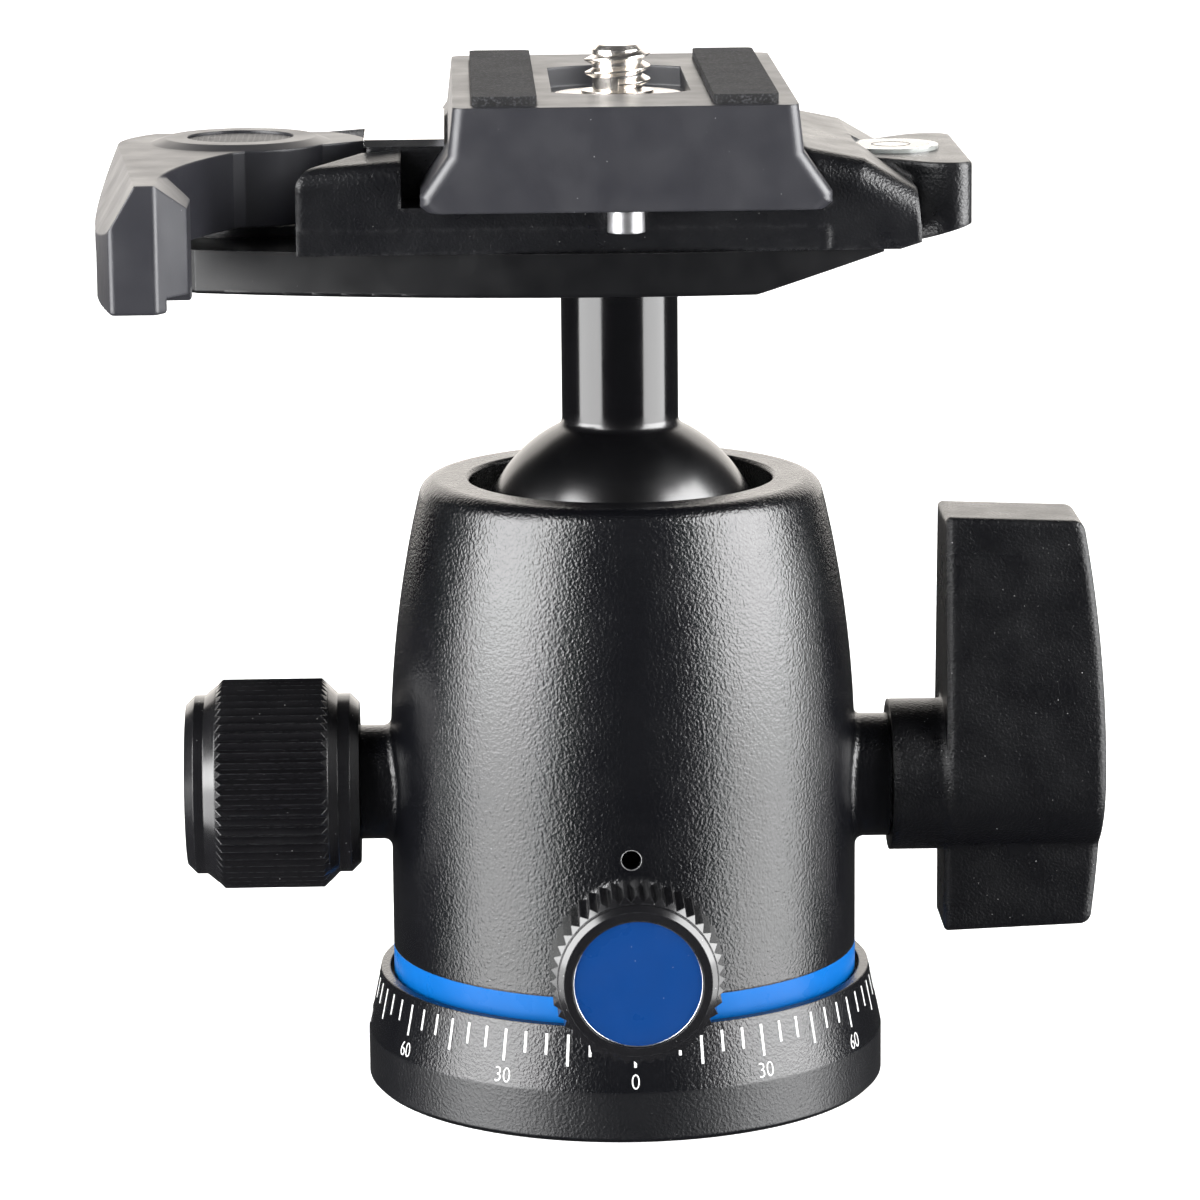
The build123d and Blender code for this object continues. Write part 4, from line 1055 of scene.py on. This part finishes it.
def dress(piece: Piece, finish: Finish | Glass, body: str) -> None:
    """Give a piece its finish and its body.

    Args:
        piece: The finished object.
        finish: Its finish.
        body: The CAD body that it moves with.
    """
    paint(piece, finish)
    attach(piece, body)
    LOG.info("piece %s rides on %s", piece.name, body)


def block(name: str, size: Triple, place: Triple, tilt: float = 0.0) -> Piece:
    """Add a box.

    Args:
        name: The new object's name.
        size: Its width, depth and height, in millimetres.
        place: Its middle, in millimetres.
        tilt: How far it is turned about X, in radians.

    Returns:
        The new object.
    """
    deselect()
    bpy.ops.mesh.primitive_cube_add(size=1, location=[side * MM for side in place])
    piece = named(name)
    piece.scale = [side * MM for side in size]
    piece.rotation_euler = (tilt, 0, 0)
    fix_place()
    return piece


def lathe(name: str, sections: list[Pair], sides: int = 64) -> Piece:
    """Turn a closed solid about Z by extruding a circle through its sections.

    Args:
        name: The new object's name.
        sections: Radius and height of each step, in millimetres, from the bottom.
        sides: Number of sides of the circle.

    Returns:
        The new object.
    """
    deselect()
    radius, height = sections[0]
    bpy.ops.mesh.primitive_circle_add(
        vertices=sides, radius=radius * MM, fill_type="NGON", location=(0, 0, height * MM)
    )
    piece = named(name)
    fix_place()
    mode("EDIT")
    bpy.ops.mesh.select_all(action="SELECT")
    for next_radius, next_height in sections[1:]:
        rise = (0, 0, (next_height - height) * MM)
        bpy.ops.mesh.extrude_region_move(TRANSFORM_OT_translate={"value": rise})
        share = next_radius / radius
        centre = (0, 0, next_height * MM)
        bpy.ops.transform.resize(value=(share, share, 1), center_override=centre)
        radius, height = next_radius, next_height
    mode("OBJECT")
    return piece


def ring(
    name: str, radius: float, thickness: float, sides: int = 96, round_sides: int = 10
) -> Piece:
    """Add a thin round ring about Z at the origin.

    Args:
        name: The new object's name.
        radius: Radius of its middle line, in millimetres.
        thickness: How thick it is, in millimetres.
        sides: Number of sides along it.
        round_sides: Number of sides round its section.

    Returns:
        The new object.
    """
    deselect()
    bpy.ops.mesh.primitive_torus_add(
        major_segments=sides,
        minor_segments=round_sides,
        major_radius=radius * MM,
        minor_radius=thickness / 2 * MM,
    )
    return named(name)


def joined(name: str, pieces: list[Piece]) -> Piece:
    """Join objects into one.

    Args:
        name: Name of the result.
        pieces: What to join.

    Returns:
        The joined object.
    """
    choose(pieces[0])
    for piece in pieces[1:]:
        piece.select_set(True)
    bpy.ops.object.join()
    return named(name)


def turned_copy(piece: Piece, degrees: float) -> Piece:
    """Copy an object with its own mesh, turned about the Z axis.

    Args:
        piece: The object to copy.
        degrees: How far the copy is turned.

    Returns:
        The copy.
    """
    copy = piece.copy()
    copy.data = piece.data.copy()
    bpy.context.scene.collection.objects.link(copy)
    choose(copy)
    copy.matrix_world = Matrix.Rotation(math.radians(degrees), 4, "Z") @ copy.matrix_world
    fix_place()
    return copy


def turned(piece: Piece, degrees: float) -> Piece:
    """Turn an object about the Z axis by a copy that takes its place.

    Args:
        piece: The object, which is deleted.
        degrees: How far it is turned.

    Returns:
        The turned object.
    """
    copy = turned_copy(piece, degrees)
    bpy.data.objects.remove(piece)
    return copy


# ------------------------------------------------------------------ sub-assemblies
@dataclass
class MaterialShelf:
    """Keeps one material for each finish."""

    made: dict[str, bpy.types.Material] = field(default_factory=dict)

    def of(self, finish: Finish | Glass) -> bpy.types.Material:
        """Fetch a material, built on first use.

        Args:
            finish: The finish.

        Returns:
            Its material.
        """
        if finish.name not in self.made:
            self.made[finish.name] = finish.material()
        return self.made[finish.name]


MATERIALS = MaterialShelf()


@dataclass
class CarriedParts:
    """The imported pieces, which keep their shape and get their finishes."""

    finishes: dict[Finish | Glass, tuple[str, ...]]

    def dress_all(self) -> None:
        """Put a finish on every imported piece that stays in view."""
        for finish, nodes in self.finishes.items():
            for node in nodes:
                paint(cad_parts[node], finish)
                LOG.info("node %s gets %s", node, finish.name)


@dataclass
class PanScale:
    """White degree scale printed round the cone of the base."""

    foot_radius: float = 25.6
    foot_height: float = 5.0
    top_radius: float = 24.3
    top_height: float = 11.2
    tick_top: float = 10.4
    long_tick: float = 3.05
    short_tick: float = 2.05
    tick_width: float = 0.27
    tick_bevel: float = 0.012
    film: float = 0.07
    stand: float = 0.02
    step: int = 5
    long_every: int = 15
    label_every: int = 30
    label_height: float = 6.0
    label_size: float = 2.15
    label_width: float = 0.86
    label_curve_steps: int = 4
    thinning: float = 0.03
    zero_turn: float = 0.4

    def build(self) -> None:
        """Make the ticks and the numerals."""
        for name, make in (("scale_ticks", self._ticks), ("scale_numerals", self._labels)):
            dress(settle(joined(name, make())), SCALE_WHITE, "base")

    def _ticks(self) -> list[Piece]:
        """Make every tick from a long and a short one.

        Returns:
            The ticks.
        """
        long_tick = self._tick("long_tick", self.long_tick)
        short_tick = self._tick("short_tick", self.short_tick)
        ticks = []
        for degrees in range(0, 360, self.step):
            pattern = long_tick if degrees % self.long_every == 0 else short_tick
            ticks.append(turned_copy(pattern, degrees + self.zero_turn))
        for pattern in (long_tick, short_tick):
            bpy.data.objects.remove(pattern)
        return ticks

    def _labels(self) -> list[Piece]:
        """Make every numeral, counted from the front to both sides.

        Returns:
            The numerals.
        """
        labels = []
        for degrees in range(0, 360, self.label_every):
            shown = min(degrees, 360 - degrees)
            labels.append(self._label(str(shown), degrees + self.zero_turn))
        return labels

    def _lean(self) -> float:
        """Lean of the cone from upright, in radians."""
        rise = self.top_height - self.foot_height
        return math.atan2(self.foot_radius - self.top_radius, rise)

    def _front(self, height: float) -> Triple:
        """Find the middle of a mark's film at the front of the cone.

        Args:
            height: Height of the mark's middle.

        Returns:
            Its place in millimetres.
        """
        radius = self.foot_radius - math.tan(self._lean()) * (height - self.foot_height)
        return (0.0, -(radius + self.stand - self.film / 2), height)

    def _tick(self, name: str, length: float) -> Piece:
        """Make one tick at the front.

        Args:
            name: The new object's name.
            length: Its length along the cone.

        Returns:
            The tick.
        """
        middle = self._front(self.tick_top - length * math.cos(self._lean()) / 2)
        piece = block(name, (self.tick_width, self.film, length), middle, -self._lean())
        modify(piece, "BEVEL", width=self.tick_bevel * MM, segments=1)
        return piece

    def _label(self, words: str, degrees: float) -> Piece:
        """Make one numeral in its place on the cone.

        Args:
            words: What it says.
            degrees: Where it stands, from the front.

        Returns:
            The numeral.
        """
        deselect()
        bpy.ops.object.text_add(location=(0, 0, 0))
        text = bpy.context.active_object.data
        text.body = words
        text.size = self.label_size * MM
        text.align_x = "CENTER"
        text.align_y = "CENTER"
        text.extrude = self.film / 2 * MM
        text.offset = -self.thinning * MM
        text.resolution_u = self.label_curve_steps
        bpy.ops.object.convert(target="MESH")
        piece = bpy.context.active_object
        piece.scale = (self.label_width, 1, 1)
        piece.rotation_euler = (QUARTER_TURN - self._lean(), 0, 0)
        piece.location = [side * MM for side in self._front(self.label_height)]
        fix_place()
        return turned(piece, degrees)


@dataclass
class ThreadRidge:
    """Ridge of a right-handed thread, whose crest lies inside its foot in a hole."""

    foot: float
    crest: float
    pitch: float
    low: float
    high: float
    foot_share: float = 0.82
    crest_share: float = 0.16
    steps_per_turn: int = 48

    def build(self) -> Piece:
        """Sweep the ridge along its helix and close its ends.

        Returns:
            The closed ridge.
        """
        piece = self._section()
        self._sweep(piece)
        choose(piece)
        mode("EDIT")
        bpy.ops.mesh.select_mode(type="EDGE")
        for is_start in (True, False):
            self._close(piece, is_start)
        bpy.ops.mesh.select_mode(type="VERT")
        mode("OBJECT")
        return piece

    def _section(self) -> Piece:
        """Draw the ridge's section as a loop of edges at its start.

        Returns:
            The loop.
        """
        deselect()
        middle = (self.foot + self.crest) / 2
        height = (self.low + self.pitch / 2) * MM
        bpy.ops.mesh.primitive_plane_add(size=1, location=(middle * MM, 0, height))
        piece = named("ridge")
        piece.rotation_euler = (QUARTER_TURN, 0, 0)
        depth = abs(self.crest - self.foot)
        piece.scale = (depth * MM, self.foot_share * self.pitch * MM, 1)
        fix_place()
        crest = self.crest * MM
        mode("EDIT")
        bpy.ops.mesh.select_all(action="DESELECT")
        mode("OBJECT")
        for vertex in piece.data.vertices:
            vertex.select = abs(vertex.co.x - crest) < TINY
        mode("EDIT")
        bpy.ops.transform.resize(
            value=(1, 1, self.crest_share), center_override=(crest, 0, height)
        )
        bpy.ops.mesh.select_all(action="SELECT")
        bpy.ops.mesh.delete(type="ONLY_FACE")
        mode("OBJECT")
        return piece

    def _sweep(self, piece: Piece) -> None:
        """Turn the section along the helix.

        Args:
            piece: The section.
        """
        rise = self.high - self.low - self.pitch
        turns = rise / self.pitch
        steps = round(self.steps_per_turn * turns)
        modify(
            piece,
            "SCREW",
            axis="Z",
            angle=2 * math.pi * turns,
            screw_offset=rise * MM,
            iterations=1,
            steps=steps,
            render_steps=steps,
            use_merge_vertices=False,
        )

    def _close(self, piece: Piece, is_start: bool) -> None:
        """Fill the open loop at one end, in edit mode.

        Args:
            piece: The swept ridge.
            is_start: Whether it is the lower end.
        """
        bpy.ops.mesh.select_all(action="DESELECT")
        bpy.ops.mesh.select_non_manifold()
        mode("OBJECT")
        half = (self.low + self.high) / 2 * MM
        vertices = piece.data.vertices
        for edge in piece.data.edges:
            height = sum(vertices[index].co.z for index in edge.vertices) / 2
            if (height < half) is not is_start:
                edge.select = False
        for vertex in vertices:
            vertex.select = False
        for edge in piece.data.edges:
            if edge.select:
                for index in edge.vertices:
                    vertices[index].select = True
        mode("EDIT")
        bpy.ops.mesh.edge_face_add()


@dataclass
class CameraScrew:
    """Camera screw with a real helix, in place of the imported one."""

    head_radius: float = 6.2
    head_low: float = 89.6
    head_height: float = 2.2
    head_edge: float = 0.25
    shank: float = 3.0
    clip_groove: float = 2.35
    clip_low: float = 97.95
    clip_high: float = 98.35
    clip_lead: float = 0.05
    core: float = 2.42
    core_lead: float = 0.1
    tip: float = 2.0
    tip_length: float = 0.45
    top: float = 102.7
    crest: float = 3.175
    pitch: float = 1.27
    ridge_root: float = 0.1
    ridge_gap: float = 0.01
    ridge_drop: float = 0.02
    ridge_turn: float = -90.0
    slot_width: float = 1.4
    slot_depth: float = 1.0

    def build(self) -> None:
        """Make the screw from its turned core and its ridge."""
        low = self.head_low
        high = low + self.head_height
        wide = self.head_radius
        edge = self.head_edge
        core = lathe(
            "camera_screw_helical",
            [
                (wide - edge, low),
                (wide, low + edge),
                (wide, high - edge),
                (wide - edge, high),
                (self.shank, high),
                (self.shank, self.clip_low),
                (self.clip_groove, self.clip_low + self.clip_lead),
                (self.clip_groove, self.clip_high),
                (self.core, self.clip_high + self.core_lead),
                (self.core, self.top - self.tip_length),
                (self.tip, self.top),
            ],
        )
        coin_slot = (3 * wide, self.slot_width, 2 * self.slot_depth)
        cut(core, block("slot_cutter", coin_slot, (0.0, 0.0, low)))
        ridge = ThreadRidge(
            self.core - self.ridge_root,
            self.crest,
            self.pitch,
            self.clip_high + self.ridge_gap,
            self.top - self.ridge_drop,
        )
        pieces = [core, turned(ridge.build(), self.ridge_turn)]
        screw = smooth(settle(joined("camera_screw_helical", pieces)))
        dress(screw, NICKEL, "camera_screw")
        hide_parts("camera_screw")


@dataclass
class TripodBush:
    """Steel bush with a real inner helix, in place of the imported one."""

    outer: float = 7.5
    outer_edge: float = 0.3
    length: float = 9.0
    bore: float = 4.763
    lead: float = 0.5
    cut_below: float = 0.01
    cut_above: float = 1.0
    crest: float = 4.0
    pitch: float = 1.5875
    ridge_root: float = 0.1
    ridge_low: float = 0.1
    ridge_drop: float = 0.05

    def build(self) -> None:
        """Make the bush from a tube and its ridge."""
        outer = lathe(
            "tripod_bush_helical",
            [
                (self.outer - self.outer_edge, 0.0),
                (self.outer, self.outer_edge),
                (self.outer, self.length),
            ],
        )
        bore = lathe(
            "bore",
            [
                (self.bore + self.lead, -self.cut_below),
                (self.bore, self.lead),
                (self.bore, self.length + self.cut_above),
            ],
        )
        cut(outer, bore)
        ridge = ThreadRidge(
            self.bore + self.ridge_root,
            self.crest,
            self.pitch,
            self.ridge_low,
            self.length - self.ridge_drop,
        )
        bush = smooth(settle(joined("tripod_bush_helical", [outer, ridge.build()])))
        dress(bush, STEEL, "base")
        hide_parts("tripod_bush")


@dataclass
class FrontRing:
    """Thin metal ring that faces the front."""

    name: str
    body: str
    finish: Finish
    height: float
    distance: float
    radius: float
    thickness: float
    sides: int = 96
    round_sides: int = 10

    def build(self) -> None:
        """Make the ring."""
        rim = ring(self.name, self.radius, self.thickness, self.sides, self.round_sides)
        rim.rotation_euler = (QUARTER_TURN, 0, 0)
        rim.location = (0, -self.distance * MM, self.height * MM)
        dress(smooth(settle(rim), ROUND_ANGLE), self.finish, self.body)


@dataclass
class PanKnobTrim(FrontRing):
    """Bright turned edge round the coloured disc of the panning lock."""

    name: str = "pan_disc_edge"
    body: str = "pan_lock"
    finish: Finish = STEEL
    height: float = 19.8
    distance: float = 39.78
    radius: float = 5.98
    thickness: float = 0.13


@dataclass
class GrubHole(FrontRing):
    """Chipped bright edge of the housing's grub screw hole."""

    name: str = "grub_hole_edge"
    body: str = "housing"
    finish: Finish = CHIPPED_EDGE
    height: float = 27.3
    distance: float = 23.0
    radius: float = 0.97
    thickness: float = 0.08
    sides: int = 40
    round_sides: int = 8


@dataclass
class BubbleLevel:
    """Target ring and bubble of the round level."""

    x: float = 26.5
    top: float = 92.7
    window: float = 0.9
    line_radius: float = 1.85
    line_width: float = 0.16
    line_flatness: float = 0.3
    line_sides: int = 64
    line_round_sides: int = 8
    bubble_radius: float = 1.45
    bubble_rise: float = 0.3
    bubble_drift: float = 0.6
    bubble_sides: int = 32

    def build(self) -> None:
        """Make the ring on the window and the bubble under it."""
        sides = (self.line_sides, self.line_round_sides)
        target = ring("level_target_ring", self.line_radius, self.line_width, *sides)
        target.scale = (1, 1, self.line_flatness)
        target.location = (self.x * MM, 0, self.top * MM)
        dress(smooth(settle(target), ROUND_ANGLE), LINE_BLACK, "platform")
        deselect()
        bpy.ops.mesh.primitive_uv_sphere_add(
            segments=self.bubble_sides,
            ring_count=self.bubble_sides // 2,
            radius=self.bubble_radius * MM,
        )
        bubble = named("level_bubble")
        bubble.scale = (1, 1, self.bubble_rise / self.bubble_radius)
        height = self.top - self.window
        bubble.location = (self.x * MM, self.bubble_drift * MM, height * MM)
        dress(smooth(settle(bubble), ROUND_ANGLE), LEVEL_CASE, "platform")


@dataclass(frozen=True)
class Softbox:
    """A soft rectangular light that faces the object, in metres and degrees.

    The azimuth counts from the camera's side, positive towards +X. The height is that of the
    light's middle. It lights matt surfaces, shows in glossy ones, or does both.
    """

    name: str
    azimuth: float
    distance: float
    size: Pair
    radiance: float
    height: float
    colour: Colour = WHITE
    is_matt: bool = True
    is_glossy: bool = True

    def place(self) -> None:
        """Set the light up."""
        deselect()
        angle = math.radians(self.azimuth)
        x, y = self.distance * math.sin(angle), -self.distance * math.cos(angle)
        spot = Vector((x, y, self.height))
        bpy.ops.object.light_add(type="AREA", location=spot)
        light = bpy.context.active_object
        light.name = self.name
        light.data.shape = "RECTANGLE"
        light.data.size, light.data.size_y = self.size
        light.data.energy = self.radiance * math.pi * self.size[0] * self.size[1]
        light.data.color = self.colour
        aim = Vector((0, 0, self.height)) - spot
        light.rotation_euler = aim.to_track_quat("-Z", "Y").to_euler()
        light.visible_camera = False
        light.visible_diffuse = self.is_matt
        light.visible_glossy = self.is_glossy


@dataclass
class Studio:
    """White floor, soft lights and the camera.

    The camera's place is in millimetres and its angles are in degrees. The floor's size and
    the depth that the camera sees are in metres.
    """

    camera_place: Triple = (-15.99, -508.75, 151.3)
    camera_yaw: float = 1.56
    camera_pitch: float = 11.48
    camera_roll: float = -0.52
    lens: float = 158.01
    sensor: float = 36.0
    seen_depth: Pair = (0.01, 50.0)
    floor_size: float = 12.0
    floor_tones: Pair = (0.93, 0.95)
    floor_mottle: float = 3.0
    floor_roughness: float = 0.9
    floor_specular: float = 0.1
    floor_glow: float = 0.8
    world_glow: float = 0.04
    lights: tuple[Softbox, ...] = (
        Softbox("left_shine", -63.0, 0.85, (0.8, 1.5), 8.4, 0.3, is_matt=False),
        Softbox("left_crown", -63.0, 0.86, (0.8, 1.0), 8.4, 0.52, is_matt=False),
        Softbox("left_glow", -63.0, 0.84, (0.8, 1.5), 6.0, 0.3, is_glossy=False),
        Softbox("right_shine", 71.5, 0.85, (0.81, 1.5), 8.4, 0.3, is_matt=False),
        Softbox("right_crown", 71.5, 0.86, (0.81, 1.0), 8.4, 0.52, is_matt=False),
        Softbox("right_glow", 71.5, 0.84, (0.81, 1.5), 6.0, 0.3, is_glossy=False),
        Softbox("back_card", 180.0, 1.9, (2.6, 1.5), 2.0, 0.62, colour=(1.0, 0.95, 0.89)),
    )

    def build(self) -> None:
        """Set up the floor, the lights, the world and the camera."""
        self._floor()
        for light in self.lights:
            light.place()
        self._world()
        self._camera()

    def _floor(self) -> None:
        """Lay a white floor that stays out of the mirror-like reflections."""
        deselect()
        bpy.ops.mesh.primitive_plane_add(size=self.floor_size, location=(0, 0, 0))
        floor = named("studio_floor")
        wiring = MaterialWiring("studio_floor")
        soft = wiring.noise(wiring.place(), self.floor_mottle)
        deep, pale = ((tone, tone, tone) for tone in self.floor_tones)
        wiring.surface(
            {
                "Base Color": wiring.mix(soft, deep, pale),
                "Roughness": self.floor_roughness,
                "Specular IOR Level": self.floor_specular,
                "Emission Color": WHITE,
                "Emission Strength": self.floor_glow,
            }
        )
        floor.data.materials.append(wiring.material)
        floor.visible_glossy = False
        floor.visible_shadow = False

    def _world(self) -> None:
        """Make dim even surroundings."""
        world = bpy.data.worlds.new("studio")
        world.use_nodes = True
        background = world.node_tree.nodes["Background"]
        background.inputs["Color"].default_value = (*WHITE, 1.0)
        background.inputs["Strength"].default_value = self.world_glow
        bpy.context.scene.world = world
        bpy.context.scene.view_settings.view_transform = "Standard"

    def _camera(self) -> None:
        """Create the camera at the matched viewpoint."""
        deselect()
        bpy.ops.object.camera_add()
        camera = bpy.context.active_object
        place = Matrix.Translation(Vector(self.camera_place) * MM)
        turn = Matrix.Rotation(math.radians(-self.camera_yaw), 4, "Z")
        tilt = Matrix.Rotation(math.radians(90 - self.camera_pitch), 4, "X")
        roll = Matrix.Rotation(math.radians(self.camera_roll), 4, "Z")
        camera.matrix_world = place @ turn @ tilt @ roll
        camera.data.lens = self.lens
        camera.data.sensor_width = self.sensor
        camera.data.clip_start, camera.data.clip_end = self.seen_depth
        bpy.context.scene.camera = camera


def main() -> None:
    """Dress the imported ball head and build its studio."""
    logging.basicConfig(level=logging.INFO, format="%(message)s")
    Studio().build()
    SharedEffects().build()
    CarriedParts(NODE_FINISHES).dress_all()
    for assembly in (PanScale, CameraScrew, TripodBush, PanKnobTrim, GrubHole, BubbleLevel):
        assembly().build()
    deselect()


if __name__ == "__main__":
    main()
